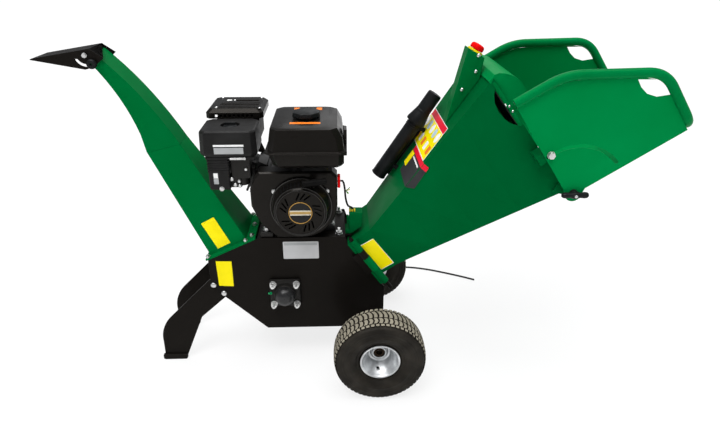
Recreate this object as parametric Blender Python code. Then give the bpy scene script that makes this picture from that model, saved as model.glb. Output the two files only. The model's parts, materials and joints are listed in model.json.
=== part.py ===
# Garden shredder with a petrol engine, standing on two wheels and a pair of legs.
# Metres, +Z up. +X points to the feed tray, -Y is the side with the recoil starter.
# The origin lies on the ground, under the middle of the machine.

from math import acos, atan2, cos, pi, radians, sin

import bmesh
import bpy
from mathutils import Matrix, Vector

# Running gaps and sheet gauges
GAP = 0.0003
PLATE = 0.005
SHEET = 0.003

# Housing between the two side plates
BODY_HALF = 0.098
BODY_INSIDE = BODY_HALF - PLATE
BODY_BOTTOM = 0.115
BODY_TOP = 0.440
BODY_LEFT = -0.446
CHUTE_SEAT_LEFT = 0.366
CHUTE_SEAT_ANGLE = radians(25.0)
CHUTE_SEAT_LENGTH = 0.171
DECK_TOP = 0.4325
DECK_GAUGE = 0.004
DECK_RIGHT = -0.034
SWITCH_TAB_END = -0.0155
SWITCH_BOX_TOP = 0.501

# Rotor
ROTOR_X = -0.220
ROTOR_Z = 0.252
ROTOR_RADIUS = 0.113
ROTOR_CLEAR = 0.006
ROTOR_SHAFT_RADIUS = 0.0125
KNIFE_STAND_OUT = 0.006
WRAP_CLEAR = 0.010
WRAP_GAUGE = 0.004
WRAP_RADIUS = ROTOR_RADIUS + KNIFE_STAND_OUT + WRAP_CLEAR

# Feed axis: distance runs along the feed, rise stands square to it
FEED_TILT = radians(36.0)
INLET_AT = 0.2239
INLET_LOW = 0.1686
INLET_HIGH = 0.3534
THROAT_LOW = 0.203
THROAT_HIGH = 0.345
MOUTH_AT = 0.822
MOUTH_LOW = 0.181
MOUTH_HIGH = 0.533
MOUTH_HALF_LOW = 0.212
MOUTH_HALF_HIGH = 0.138
STOP_BOX_FROM = 0.655
STOP_BOX_TO = 0.798
STOP_BOX_CROWN_AT = 0.8418
STOP_BOX_CROWN_LIFT = 0.0783
STOP_BOX_BROW_AT = 0.8462
STOP_BOX_BROW_LIFT = 0.0256
STOP_BOX_Y = -0.028
STOP_BOX_WIDTH = 0.048
FLARE_FROM = 0.300
FLANGE_GAUGE = 0.005

# Hinge of the hopper, beside the near side plate
HINGE_AT = 0.242
HINGE_Y = -0.108
HINGE_RADIUS = 0.006
KNUCKLE_RADIUS = 0.011
HINGE_LOW = 0.153
HINGE_HIGH = 0.368
KNUCKLE_MID_LOW = 0.236
KNUCKLE_MID_HIGH = 0.314
KNUCKLE_SETBACK = 0.0015

# Tube for papers on the hopper
TUBE_LIFT = 0.036
TUBE_Y = 0.070
TUBE_FROM = 0.405
TUBE_CAP_AT = 0.690

# Feed tray
TRAY_HALF = MOUTH_HALF_LOW + 0.024
TRAY_PIVOT_AT = MOUTH_AT + 0.009
TRAY_PIVOT_RISE = MOUTH_LOW - 0.0036
TRAY_PIVOT_X = TRAY_PIVOT_AT * cos(FEED_TILT) - TRAY_PIVOT_RISE * sin(FEED_TILT)
TRAY_PIVOT_Z = TRAY_PIVOT_AT * sin(FEED_TILT) + TRAY_PIVOT_RISE * cos(FEED_TILT)
TRAY_SLOT_RADIUS = 0.131
TRAY_SLOT_WIDTH = 0.010
TRAY_SWING = radians(80.0)
TRAY_SLOT_SPARE = radians(4.0)
TRAY_ROUTE = [(TRAY_PIVOT_X + x, TRAY_PIVOT_Z + z) for x, z in
              ((-0.184, 0.240), (-0.068, 0.310), (0.176, 0.316), (0.275, 0.179))]
TRAY_CORNER = 0.045
TRAY_FLOOR_LENGTH = 0.254
TRAY_FLOOR_SLOPE = radians(30.0)
TRAY_TONGUE = 0.046
HAND_HOLE = [(TRAY_PIVOT_X + x, TRAY_PIVOT_Z + z) for x, z in
             ((0.110, 0.299), (0.176, 0.299), (0.193, 0.288), (0.212, 0.263), (0.167, 0.256),
              (0.140, 0.264), (0.122, 0.280))]
TRAY_STUD_RADIUS = 0.005
TRAY_GUIDE_ANGLE = radians(125.0)
STUD_REACH = 0.008
HAND_TUBE_RADIUS = 0.0125

# Wheels
AXLE_X = 0.062
AXLE_RADIUS = 0.010
TYRE_RADIUS = 0.135
TYRE_WIDTH = 0.100
RIM_RADIUS = 0.0585
WHEEL_Y = 0.262
HUB_RADIUS = 0.017
HUB_IN = 0.044
HUB_OUT = 0.030
RUNNING = 0.0005
SLEEVE_RADIUS = 0.015

# Discharge chute and its deflector
CHUTE_BASE_HALF = 0.080
CHUTE_HALF = 0.042
CHUTE_GAUGE = 0.0025
KINK_OUTER = (-0.595, 0.714)
KINK_INNER = (-0.4965, 0.712)
BEND_OUTER = (-0.6245, 0.842)
BEND_INNER = (-0.584, 0.8705)
OUTLET_OUTER = (-0.703, 0.940)
OUTLET_INNER = (-0.689, 0.965)
DEFLECTOR_HALF = 0.048
DEFLECTOR_SIDE = [(-0.8549, 0.949), (-0.715, 0.923), (-0.690, 0.930), (-0.663, 0.953),
                  (-0.697, 0.977), (-0.850, 0.952)]
DEFLECTOR_GAUGE = 0.003
DEFLECTOR_PIVOT_X = -0.709
DEFLECTOR_PIVOT_Z = 0.961
DEFLECTOR_SLOT_RADIUS = 0.027
DEFLECTOR_SLOT_WIDTH = 0.007
DEFLECTOR_KNOB_ANGLE = radians(-55.0)

# Engine
ENGINE_PLATE_GAUGE = 0.005
SHAFT_X = -0.159
SHAFT_RISE = 0.106
CRANK_RADIUS = 0.010
ENGINE_BASE = DECK_TOP + GAP + ENGINE_PLATE_GAUGE + GAP
SHAFT_Z = ENGINE_BASE + SHAFT_RISE
CASE_RADIUS = 0.080
BLOCK_FRONT = -0.052
BLOCK_BACK = 0.104
SHROUD_FRONT = -0.102
SHROUD_RADIUS = 0.104
SHROUD_LEFT = 0.131
SHROUD_SKIRT = 0.1435
SHROUD_TOP = 0.104
AIR_INLET_RADIUS = 0.074
SHROUD_GAUGE = 0.002
RECOIL_RADIUS = 0.088
RECOIL_DEPTH = 0.048
ROPE_END_RADIUS = 0.0035
CYLINDER_TILT = radians(155.0)
HEAD_MIDDLE = 0.020
HEAD_HALF = 0.056
HEAD_REACH = 0.160
HEAD_SPAN = 0.050
TANK_LOW = 0.672
TANK_HEIGHT = 0.111
FUEL_CAP_X = SHAFT_X + 0.020
FUEL_CAP_Y = -0.026
CLEANER_LEFT = -0.428
CLEANER_RIGHT = -0.272
CLEANER_BACK = 0.012
CLEANER_LOW = 0.700
CLEANER_TOP = 0.772
CLEANER_FRONT = -0.120
CLEANER_NUT_X = -0.350
CLEANER_NUT_Y = -0.050
CHOKE_X = -0.309
CHOKE_Z = 0.6935
CHOKE_FACE = CLEANER_FRONT + 0.010 - GAP
THROTTLE_X = SHAFT_X + 0.071
THROTTLE_Y = -0.052
SWITCH_Y = -0.084
SWITCH_RISE = 0.069
MUFFLER_X = (-0.404, -0.266)
MUFFLER_Y = (0.034, 0.150)
MUFFLER_Z = (0.690, 0.776)
GUARD_X = (-0.424, -0.262)
GUARD_Y = (0.016, 0.172)
GUARD_Z = (0.700, 0.796)
ROPE_PULL = (0.25, -0.80, 0.55)
ROPE_GUIDE_LENGTH = 0.030

# Belt drive on the far side
BELT_MID_Y = BODY_HALF + 0.041
PULLEY_WIDTH = 0.024
DRIVE_PULLEY_RADIUS = 0.042
ROTOR_PULLEY_RADIUS = 0.066
BELT_DEPTH = 0.008
BELT_REST = 0.0008
GUARD_CLEAR = 0.012
GUARD_GAUGE = 0.003

ROUND = 32


# Materials

def paint(name, colour, roughness, metallic=0.0):
    material = bpy.data.materials.new(name)
    material.use_nodes = True
    shader = material.node_tree.nodes["Principled BSDF"]
    shader.inputs["Base Color"].default_value = (*colour, 1.0)
    shader.inputs["Roughness"].default_value = roughness
    shader.inputs["Metallic"].default_value = metallic
    return material


def make_materials():
    return {
        "green": paint("green_powder_coat", (0.0, 0.19, 0.07), 0.32),
        "black": paint("black_powder_coat", (0.022, 0.02, 0.019), 0.42),
        "engine": paint("engine_black", (0.02, 0.019, 0.018), 0.38),
        "cast": paint("engine_casting", (0.18, 0.18, 0.18), 0.5, 0.9),
        "zinc": paint("zinc_plate", (0.6, 0.6, 0.58), 0.32, 1.0),
        "steel": paint("tool_steel", (0.42, 0.42, 0.42), 0.3, 1.0),
        "rubber": paint("tyre_rubber", (0.05, 0.048, 0.045), 0.8),
        "belt": paint("belt_rubber", (0.02, 0.02, 0.02), 0.75),
        "plastic": paint("black_plastic", (0.015, 0.015, 0.016), 0.4),
        "red": paint("red_plastic", (0.7, 0.005, 0.01), 0.35),
        "cable": paint("cable_sheath", (0.012, 0.012, 0.012), 0.5),
    }


# Shape helpers

def feed(along, rise):
    """Side-view point from a distance along the feed and a rise square to it."""
    x = along * cos(FEED_TILT) - rise * sin(FEED_TILT)
    z = along * sin(FEED_TILT) + rise * cos(FEED_TILT)
    return x, z


def arc(centre, radius, start, end, steps):
    """Side-view points of an arc, both ends included; angles in radians."""
    points = []
    for step in range(steps + 1):
        angle = start + (end - start) * step / steps
        points.append((centre[0] + radius * cos(angle), centre[1] + radius * sin(angle)))
    return points


def solid(name, verts, faces, material, smooth=False):
    mesh = bpy.data.meshes.new(name)
    mesh.from_pydata(verts, [], faces)
    work = bmesh.new()
    work.from_mesh(mesh)
    bmesh.ops.recalc_face_normals(work, faces=work.faces)
    work.to_mesh(mesh)
    work.free()
    mesh.materials.append(material)
    if smooth:
        mesh.shade_smooth()
        mesh.set_sharp_from_angle(angle=radians(35.0))
    body = bpy.data.objects.new(name, mesh)
    bpy.context.scene.collection.objects.link(body)
    return body


def prism(name, outline, y_low, y_high, material, smooth=False):
    """An outline in the side view, extruded across the machine."""
    count = len(outline)
    verts = [(x, y_low, z) for x, z in outline] + [(x, y_high, z) for x, z in outline]
    faces = [list(range(count)), list(range(2 * count - 1, count - 1, -1))]
    for index in range(count):
        after = (index + 1) % count
        faces.append([index, after, after + count, index + count])
    return solid(name, verts, faces, material, smooth)


def block(name, x_pair, y_pair, z_pair, material, bevel=0.0):
    outline = [(x_pair[0], z_pair[0]), (x_pair[1], z_pair[0])]
    outline += [(x_pair[1], z_pair[1]), (x_pair[0], z_pair[1])]
    body = prism(name, outline, y_pair[0], y_pair[1], material)
    if bevel:
        soften(body, bevel)
    return body


def soften(body, width, segments=1):
    bevel = body.modifiers.new("soft edges", "BEVEL")
    bevel.width = width
    bevel.segments = segments
    bevel.limit_method = "ANGLE"
    bevel.angle_limit = radians(35.0)


def turned(name, profile, centre, direction, material, segments=ROUND, closed=False):
    """A profile of (radius, height) turned about a direction through a centre."""
    spin = Vector(direction).to_track_quat("Z", "Y").to_matrix()
    verts = []
    rings = []
    for radius, height in profile:
        turns = segments if radius > 0 else 1
        rings.append(range(len(verts), len(verts) + turns))
        for turn in range(turns):
            angle = 2 * pi * turn / segments
            point = Vector((radius * cos(angle), radius * sin(angle), height))
            verts.append(Vector(centre) + spin @ point)
    pairs = list(zip(rings, rings[1:]))
    if closed:
        pairs.append((rings[-1], rings[0]))
    faces = []
    for low, high in pairs:
        for turn in range(segments):
            after = (turn + 1) % segments
            corners = [low[turn % len(low)], low[after % len(low)]]
            corners += [high[after % len(high)], high[turn % len(high)]]
            faces.append(list(dict.fromkeys(corners)))
    return solid(name, verts, faces, material, smooth=True)


def rod(name, start, end, radius, material, segments=ROUND):
    length = (Vector(end) - Vector(start)).length
    profile = [(0, 0), (radius, 0), (radius, length), (0, length)]
    return turned(name, profile, start, Vector(end) - Vector(start), material, segments)


def skin(name, loops, material, smooth=False, ends="caps", inside_from=None):
    """Loops of equal length joined in order; the ends are capped, or meet each other.

    Where a wall is twisted, its inner loops start at inside_from, and the diagonals
    there are turned so that both faces of the wall fold along the same line.
    """
    count = len(loops[0])
    verts = [point for loop in loops for point in loop]
    faces = []
    last = len(loops) - 1 if ends == "caps" else len(loops)
    for level in range(last):
        low = level * count
        high = (level + 1) % len(loops) * count
        for index in range(count):
            after = (index + 1) % count
            turn = inside_from is not None and (index == 0) != (level >= inside_from)
            if turn:
                faces.append([low + index, low + after, high + index])
                faces.append([low + after, high + after, high + index])
            else:
                faces.append([low + index, low + after, high + after])
                faces.append([low + index, high + after, high + index])
    if ends == "caps":
        faces.append(list(range(count)))
        faces.append(list(range(len(verts) - count, len(verts)))[::-1])
    return solid(name, verts, faces, material, smooth)


def hide(tool):
    tool.hide_render = True
    tool.display_type = "WIRE"


def cut(body, tool):
    change = body.modifiers.new("cut " + tool.name, "BOOLEAN")
    change.operation = "DIFFERENCE"
    change.solver = "EXACT"
    change.object = tool
    hide(tool)


def join(body, tool):
    change = body.modifiers.new("join " + tool.name, "BOOLEAN")
    change.operation = "UNION"
    change.solver = "EXACT"
    change.object = tool
    hide(tool)


def bent_sheet(name, path, gauge, half, material):
    """A sheet bent along a side-view path; the gauge goes to the left of the path."""
    outside = []
    for index, point in enumerate(path):
        before = path[max(index - 1, 0)]
        after = path[min(index + 1, len(path) - 1)]
        into = Vector(point) - Vector(before)
        out = Vector(after) - Vector(point)
        into = into.normalized() if into.length else out.normalized()
        out = out.normalized() if out.length else into
        bisector = (into + out).normalized()
        normal = Vector((-bisector.y, bisector.x))
        stretch = gauge / max(normal.dot(Vector((-into.y, into.x))), 0.3)
        outside.append((point[0] + normal.x * stretch, point[1] + normal.y * stretch))
    return prism(name, list(path) + outside[::-1], -half, half, material)


def eased(points, radius, steps):
    """A path through points in space, each inner corner eased to an arc-like bend."""
    path = [Vector(points[0])]
    for before, corner, after in zip(points, points[1:], points[2:]):
        corner = Vector(corner)
        start = corner + (Vector(before) - corner).normalized() * radius
        end = corner + (Vector(after) - corner).normalized() * radius
        for step in range(steps + 1):
            share = step / steps
            path.append(start.lerp(corner, share).lerp(corner.lerp(end, share), share))
    path.append(Vector(points[-1]))
    return path


def offset_path(path, distance):
    """A side-view path moved to its right by a distance."""
    moved = []
    for index, point in enumerate(path):
        before = path[max(index - 1, 0)]
        after = path[min(index + 1, len(path) - 1)]
        along = (Vector(after) - Vector(before)).normalized()
        moved.append((point[0] + along.y * distance, point[1] - along.x * distance))
    return moved


def tube(name, path, radius, material, resolution=2):
    curve = bpy.data.curves.new(name, "CURVE")
    curve.dimensions = "3D"
    curve.bevel_depth = radius
    curve.bevel_resolution = resolution
    curve.use_fill_caps = True
    line = curve.splines.new("POLY")
    line.points.add(len(path) - 1)
    for place, point in zip(line.points, path):
        place.co = (*point, 1.0)
    curve.materials.append(material)
    body = bpy.data.objects.new(name, curve)
    bpy.context.scene.collection.objects.link(body)
    return body


def curved_slot(name, centre, radius, width, start, end, y_low, y_high, material, steps=10):
    """A cutter for a slot along an arc, with round ends."""
    half = width / 2
    outline = arc(centre, radius + half, start, end, steps)
    tip = (centre[0] + radius * cos(end), centre[1] + radius * sin(end))
    outline += arc(tip, half, end, end + pi, 4)[1:-1]
    outline += arc(centre, radius - half, end, start, steps)
    tip = (centre[0] + radius * cos(start), centre[1] + radius * sin(start))
    outline += arc(tip, half, start + pi, start + 2 * pi, 4)[1:-1]
    return prism(name, outline, y_low, y_high, material)


def soft_rectangle(x_pair, y_pair, corner, z):
    """A level rectangle with cut corners, as eight points."""
    x_low, x_high = x_pair
    y_low, y_high = y_pair
    return [
        (x_low + corner, y_low, z),
        (x_high - corner, y_low, z),
        (x_high, y_low + corner, z),
        (x_high, y_high - corner, z),
        (x_high - corner, y_high, z),
        (x_low + corner, y_high, z),
        (x_low, y_high - corner, z),
        (x_low, y_low + corner, z),
    ]


# Housing

def seat_point(distance, lift=0.0):
    """A point on the sloping seat of the chute, lifted square to it."""
    x = BODY_LEFT + distance * cos(CHUTE_SEAT_ANGLE) - lift * sin(CHUTE_SEAT_ANGLE)
    z = CHUTE_SEAT_LEFT + distance * sin(CHUTE_SEAT_ANGLE) + lift * cos(CHUTE_SEAT_ANGLE)
    return x, z


def side_outline():
    """The side plate, from its lower left corner round."""
    inlet_low = feed(INLET_AT, INLET_LOW)
    inlet_high = feed(INLET_AT, INLET_HIGH)
    return [
        (BODY_LEFT + 0.163, BODY_BOTTOM),
        (inlet_low[0] + 0.003, BODY_BOTTOM),
        (inlet_low[0] + 0.003, inlet_low[1] - 0.004),
        inlet_low,
        inlet_high,
        (DECK_RIGHT, BODY_TOP),
        seat_point(CHUTE_SEAT_LENGTH),
        (BODY_LEFT, CHUTE_SEAT_LEFT),
        (BODY_LEFT, CHUTE_SEAT_LEFT - 0.081),
        (BODY_LEFT + 0.041, BODY_BOTTOM + 0.119),
    ]


def make_side_plate(name, side, material):
    y_low, y_high = sorted((side * BODY_INSIDE, side * BODY_HALF))
    plate = prism(name, side_outline(), y_low, y_high, material)
    for label, x, z, radius in (
        ("bearing hole", ROTOR_X, ROTOR_Z, ROTOR_SHAFT_RADIUS + 0.012),
        ("axle hole", AXLE_X, TYRE_RADIUS, AXLE_RADIUS + GAP),
    ):
        start = (x, y_low - 0.01, z)
        cut(plate, rod(f"{name} {label}", start, (x, y_high + 0.01, z), radius, material, 24))
    return plate


def make_hinge_knuckle(name, low, high, web_from, web_to, web_y, material):
    """A knuckle round the hinge pin and the web that carries it."""
    start = feed(HINGE_AT, low)
    end = feed(HINGE_AT, high)
    barrel = rod(name + " barrel", (start[0], HINGE_Y, start[1]), (end[0], HINGE_Y, end[1]),
                 KNUCKLE_RADIUS, material, 16)
    inner_low = low + KNUCKLE_SETBACK
    inner_high = high - KNUCKLE_SETBACK
    corners = [feed(web_from, inner_low), feed(web_to, inner_low)]
    corners += [feed(web_to, inner_high), feed(web_from, inner_high)]
    web = prism(name + " web", corners, web_y[0], web_y[1], material)
    return barrel, web


def hinge_bore(name, material):
    start = feed(HINGE_AT, HINGE_LOW - 0.02)
    end = feed(HINGE_AT, HINGE_HIGH + 0.02)
    return rod(name, (start[0], HINGE_Y, start[1]), (end[0], HINGE_Y, end[1]),
               HINGE_RADIUS + GAP, material, 16)


def make_housing(materials):
    black = materials["black"]
    near = make_side_plate("side_plate_near", -1, black)
    make_side_plate("side_plate_far", 1, black)
    web_y = (HINGE_Y - KNUCKLE_RADIUS * 0.5, -BODY_HALF + PLATE * 0.4)
    pieces = make_hinge_knuckle("body knuckle", KNUCKLE_MID_LOW, KNUCKLE_MID_HIGH,
                                INLET_AT - 0.012, HINGE_AT, web_y, black)
    for piece in pieces:
        join(near, piece)
    cut(near, hinge_bore("body knuckle bore", black))
    start = feed(HINGE_AT, HINGE_LOW)
    end = feed(HINGE_AT, HINGE_HIGH)
    rod("hinge_pin", (start[0], HINGE_Y, start[1]), (end[0], HINGE_Y, end[1]),
        HINGE_RADIUS, materials["zinc"], 16)

    inside = BODY_INSIDE - GAP
    centre = (ROTOR_X, ROTOR_Z)
    floor_start = radians(325.0)
    wrap_start = radians(172.0)
    lower = [seat_point(0.008, -0.0009)]
    lower += arc(centre, WRAP_RADIUS, wrap_start, floor_start, 22)
    lower.append(feed(INLET_AT - 0.0056, THROAT_LOW - 0.003))
    bent_sheet("housing_wrap", lower[::-1], WRAP_GAUGE, inside, black)

    roof_meet = (ROTOR_X + WRAP_RADIUS * cos(radians(41.5)),
                 ROTOR_Z + WRAP_RADIUS * sin(radians(41.5)))
    upper = [feed(INLET_AT - 0.0056, THROAT_HIGH + 0.0025), roof_meet]
    upper += arc(centre, WRAP_RADIUS, radians(50.0), radians(112.0), 9)
    upper.append(seat_point(CHUTE_SEAT_LENGTH - 0.022, -0.0009))
    bent_sheet("rotor_cover", upper[::-1], WRAP_GAUGE, inside, black)

    seat_end = seat_point(CHUTE_SEAT_LENGTH - 0.006)
    deck = block("top_deck", (seat_end[0], DECK_RIGHT), (-inside, inside),
                 (DECK_TOP - DECK_GAUGE, DECK_TOP), black)
    tab = block("switch tab", (DECK_RIGHT - 0.01, SWITCH_TAB_END), (-0.070, -0.018),
                (DECK_TOP - DECK_GAUGE, DECK_TOP), black)
    join(deck, tab)

    frame_low = INLET_LOW + 0.012
    frame_high = INLET_HIGH - 0.003
    frame_at = (INLET_AT - 0.0051, INLET_AT)
    corners = [feed(frame_at[0], frame_low), feed(frame_at[1], frame_low)]
    corners += [feed(frame_at[1], frame_high), feed(frame_at[0], frame_high)]
    frame = prism("inlet_frame", corners, -inside, inside, black)
    corners = [feed(frame_at[0] - 0.01, THROAT_LOW), feed(frame_at[1] + 0.01, THROAT_LOW)]
    corners += [feed(frame_at[1] + 0.01, THROAT_HIGH), feed(frame_at[0] - 0.01, THROAT_HIGH)]
    opening_half = BODY_HALF - 0.017
    cut(frame, prism("inlet opening", corners, -opening_half, opening_half, black))

    knife_reach = ROTOR_RADIUS + KNIFE_STAND_OUT + 0.0025
    edge_angle = radians(-8.3)
    edge = (ROTOR_X + knife_reach * cos(edge_angle), ROTOR_Z + knife_reach * sin(edge_angle))
    floor_meet = lower[-2]
    floor_end = lower[-1]
    slope = Vector(floor_end) - Vector(floor_meet)
    seat_near = Vector(floor_meet) + slope * 0.10
    seat_far = Vector(floor_meet) + slope * 0.86
    lift = Vector((-slope.y, slope.x)).normalized() * GAP
    outline = [edge, (edge[0] + 0.045, edge[1] + 0.012), tuple(seat_far + lift)]
    outline += [tuple(seat_near + lift), (edge[0] + 0.002, edge[1] - 0.03)]
    prism("anvil", outline, -inside, inside, materials["steel"])

    foot = DECK_TOP + GAP
    outline = [(DECK_RIGHT + 0.001, foot), (SWITCH_TAB_END, foot), (0.018, foot + 0.0246)]
    outline += [(0.018, SWITCH_BOX_TOP), (-0.021, SWITCH_BOX_TOP), (-0.021, foot + 0.013)]
    outline += [(DECK_RIGHT + 0.001, foot + 0.013)]
    switch = prism("interlock_box", outline, -0.066, -0.022, materials["green"])
    soften(switch, 0.0015)


def make_leg(name, side, material):
    """A bent plate leg, with a lip at the foot that turns outward."""
    outer = BODY_INSIDE - GAP
    inner = outer - PLATE
    foot_left = -0.616
    foot_right = -0.558
    shoulder = (BODY_LEFT - 0.007, CHUTE_SEAT_LEFT - 0.074)
    bend_centre = (foot_left + 0.112, 0.075)
    outline = [(foot_left, 0.0), (foot_right, 0.0), (-0.488, 0.159), (-0.405, 0.234)]
    outline += [(-0.385, 0.262), (-0.424, 0.312)]
    outline += [shoulder]
    outline += arc(bend_centre, 0.118, radians(133.0), radians(184.0), 8)
    y_low, y_high = sorted((side * inner, side * outer))
    leg = prism(name, outline, y_low, y_high, material)
    lip_y = sorted((side * inner, side * (outer + 0.020)))
    lip = block(name + " lip", (foot_left, foot_right), lip_y, (0.0, PLATE), material)
    join(leg, lip)
    return leg


def make_bearing(name, side, capped, material):
    """A square flanged bearing; the near one has a domed cap over the shaft end."""
    half = 0.0475
    face = BODY_HALF + GAP
    y_pair = sorted((side * face, side * (face + 0.013)))
    flange = block(name, (ROTOR_X - half, ROTOR_X + half), y_pair,
                   (ROTOR_Z - half, ROTOR_Z + half), material)
    soften(flange, 0.008, 2)
    start = (ROTOR_X, side * (face + 0.006), ROTOR_Z)
    if capped:
        profile = [(0, 0), (0.034, 0), (0.034, 0.016), (0.028, 0.020)]
        profile += [(0.027, 0.032), (0.022, 0.038), (0, 0.040)]
    else:
        profile = [(0, 0), (0.034, 0), (0.034, 0.014), (0.030, 0.016), (0, 0.016)]
    join(flange, turned(name + " boss", profile, start, (0, side, 0), material, 20))
    depth = 0.032 if capped else 0.06
    bore = rod(name + " bore", (ROTOR_X, side * (face - 0.01), ROTOR_Z),
               (ROTOR_X, side * (face - 0.01 + depth), ROTOR_Z),
               ROTOR_SHAFT_RADIUS + GAP, material, 20)
    cut(flange, bore)
    return flange


def make_running_gear(materials):
    """Axle, rims and tyres."""
    sleeve_end = WHEEL_Y - HUB_IN - RUNNING
    washer = WHEEL_Y + HUB_OUT + RUNNING
    half_profile = [
        (SLEEVE_RADIUS, BODY_HALF + GAP), (SLEEVE_RADIUS, sleeve_end), (AXLE_RADIUS, sleeve_end),
        (AXLE_RADIUS, washer), (0.016, washer), (0.016, washer + 0.003),
        (0.010, washer + 0.003), (0.010, washer + 0.011), (0, washer + 0.011),
    ]
    profile = [(radius, -height) for radius, height in reversed(half_profile)]
    profile += [(AXLE_RADIUS, -BODY_HALF - GAP), (AXLE_RADIUS, BODY_HALF + GAP)] + half_profile
    turned("axle", profile, (AXLE_X, 0, TYRE_RADIUS), (0, 1, 0), materials["zinc"], 20)
    for label, side in (("near", -1), ("far", 1)):
        centre = (AXLE_X, side * WHEEL_Y, TYRE_RADIUS)
        outward = (0, side, 0)
        lip = 0.034
        flange = RIM_RADIUS
        dish = [
            (AXLE_RADIUS + GAP, -HUB_IN), (HUB_RADIUS, -HUB_IN), (HUB_RADIUS, -0.008),
            (flange - 0.008, -0.011), (flange - 0.008, -lip), (flange + 0.004, -lip - 0.003),
            (flange - 0.005, -lip + 0.005), (flange - 0.005, lip - 0.005),
            (flange + 0.004, lip + 0.003), (flange - 0.008, lip), (flange - 0.008, -0.002),
            (HUB_RADIUS, -0.0055), (HUB_RADIUS, HUB_OUT), (AXLE_RADIUS + GAP, HUB_OUT),
        ]
        turned(f"rim_{label}", dish, centre, outward, materials["zinc"], 24, closed=True)
        half = TYRE_WIDTH / 2
        crown = TYRE_RADIUS
        section = [
            (flange - 0.0046, -lip + 0.006), (flange + 0.006, -lip - 0.001),
            (flange + 0.024, -half), (crown - 0.026, -half), (crown - 0.007, -half + 0.008),
            (crown, -half + 0.022), (crown, half - 0.022), (crown - 0.007, half - 0.008),
            (crown - 0.026, half), (flange + 0.024, half), (flange + 0.006, lip + 0.001),
            (flange - 0.0046, lip - 0.006),
        ]
        turned(f"tyre_{label}", section, centre, outward, materials["rubber"], 28, closed=True)


# Rotor and belt drive

def make_rotor(materials):
    inside = BODY_INSIDE - ROTOR_CLEAR
    shaft_near = -(BODY_HALF + GAP + 0.016)
    shaft_far = BELT_MID_Y + PULLEY_WIDTH / 2 + 0.012
    drum = rod("rotor_drum", (ROTOR_X, -inside, ROTOR_Z), (ROTOR_X, inside, ROTOR_Z),
               ROTOR_RADIUS, materials["steel"], 32)
    join(drum, rod("rotor shaft", (ROTOR_X, shaft_near, ROTOR_Z), (ROTOR_X, shaft_far, ROTOR_Z),
                   ROTOR_SHAFT_RADIUS, materials["steel"], 20))
    pocket_depth = 0.030
    for label, angle in (("knife_a", radians(60.0)), ("knife_b", radians(240.0))):
        out = Vector((cos(angle), sin(angle)))
        across = Vector((-out.y, out.x))
        centre = Vector((ROTOR_X, ROTOR_Z))
        seat = centre + out * (ROTOR_RADIUS - pocket_depth)
        pocket = [seat - across * 0.05, seat + across * 0.016, seat + across * 0.016 + out * 0.05]
        pocket.append(seat - across * 0.05 + out * 0.05)
        cut(drum, prism(label + " pocket", [tuple(point) for point in pocket],
                        -inside - 0.01, inside + 0.01, materials["steel"]))
        top = ROTOR_RADIUS + KNIFE_STAND_OUT
        root = centre + out * (ROTOR_RADIUS - pocket_depth + GAP)
        face = across * (0.016 - GAP)
        back = across * 0.006
        tip = centre + out * top + across * 0.0065
        blade = [root + back, root + face, centre + out * (top - 0.014) + face, tip]
        blade.append(centre + out * (top - 0.020) + back)
        prism(label, [tuple(point) for point in blade], -inside + 0.004, inside - 0.004,
              materials["zinc"])


def pulley_profile(radius, bore, hub):
    """A grooved pulley, as a closed profile about its own middle."""
    half = PULLEY_WIDTH / 2
    root = radius - BELT_DEPTH * 0.5
    rim = radius + 0.003
    return [
        (bore, -half - 0.006), (hub, -half - 0.006), (hub, -0.004), (root - 0.004, -half),
        (rim, -half), (root, -half + 0.0035), (root, half - 0.0035), (rim, half),
        (root - 0.004, half), (hub, 0.004), (hub, half + 0.004), (bore, half + 0.004),
    ]


def belt_outline(radius_top, radius_low, steps):
    """A loop round both pulleys, each arc met by the two straight runs."""
    top = Vector((SHAFT_X, SHAFT_Z))
    low = Vector((ROTOR_X, ROTOR_Z))
    span = low - top
    heading = atan2(span.y, span.x)
    lean = acos((radius_top - radius_low) / span.length)
    loop = arc(tuple(top), radius_top, heading + lean, heading + 2 * pi - lean, steps)
    loop += arc(tuple(low), radius_low, heading - lean, heading + lean, steps)
    return loop


def belt_loop(radius_top, radius_low, y, steps):
    return [(x, y, z) for x, z in belt_outline(radius_top, radius_low, steps)]


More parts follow.
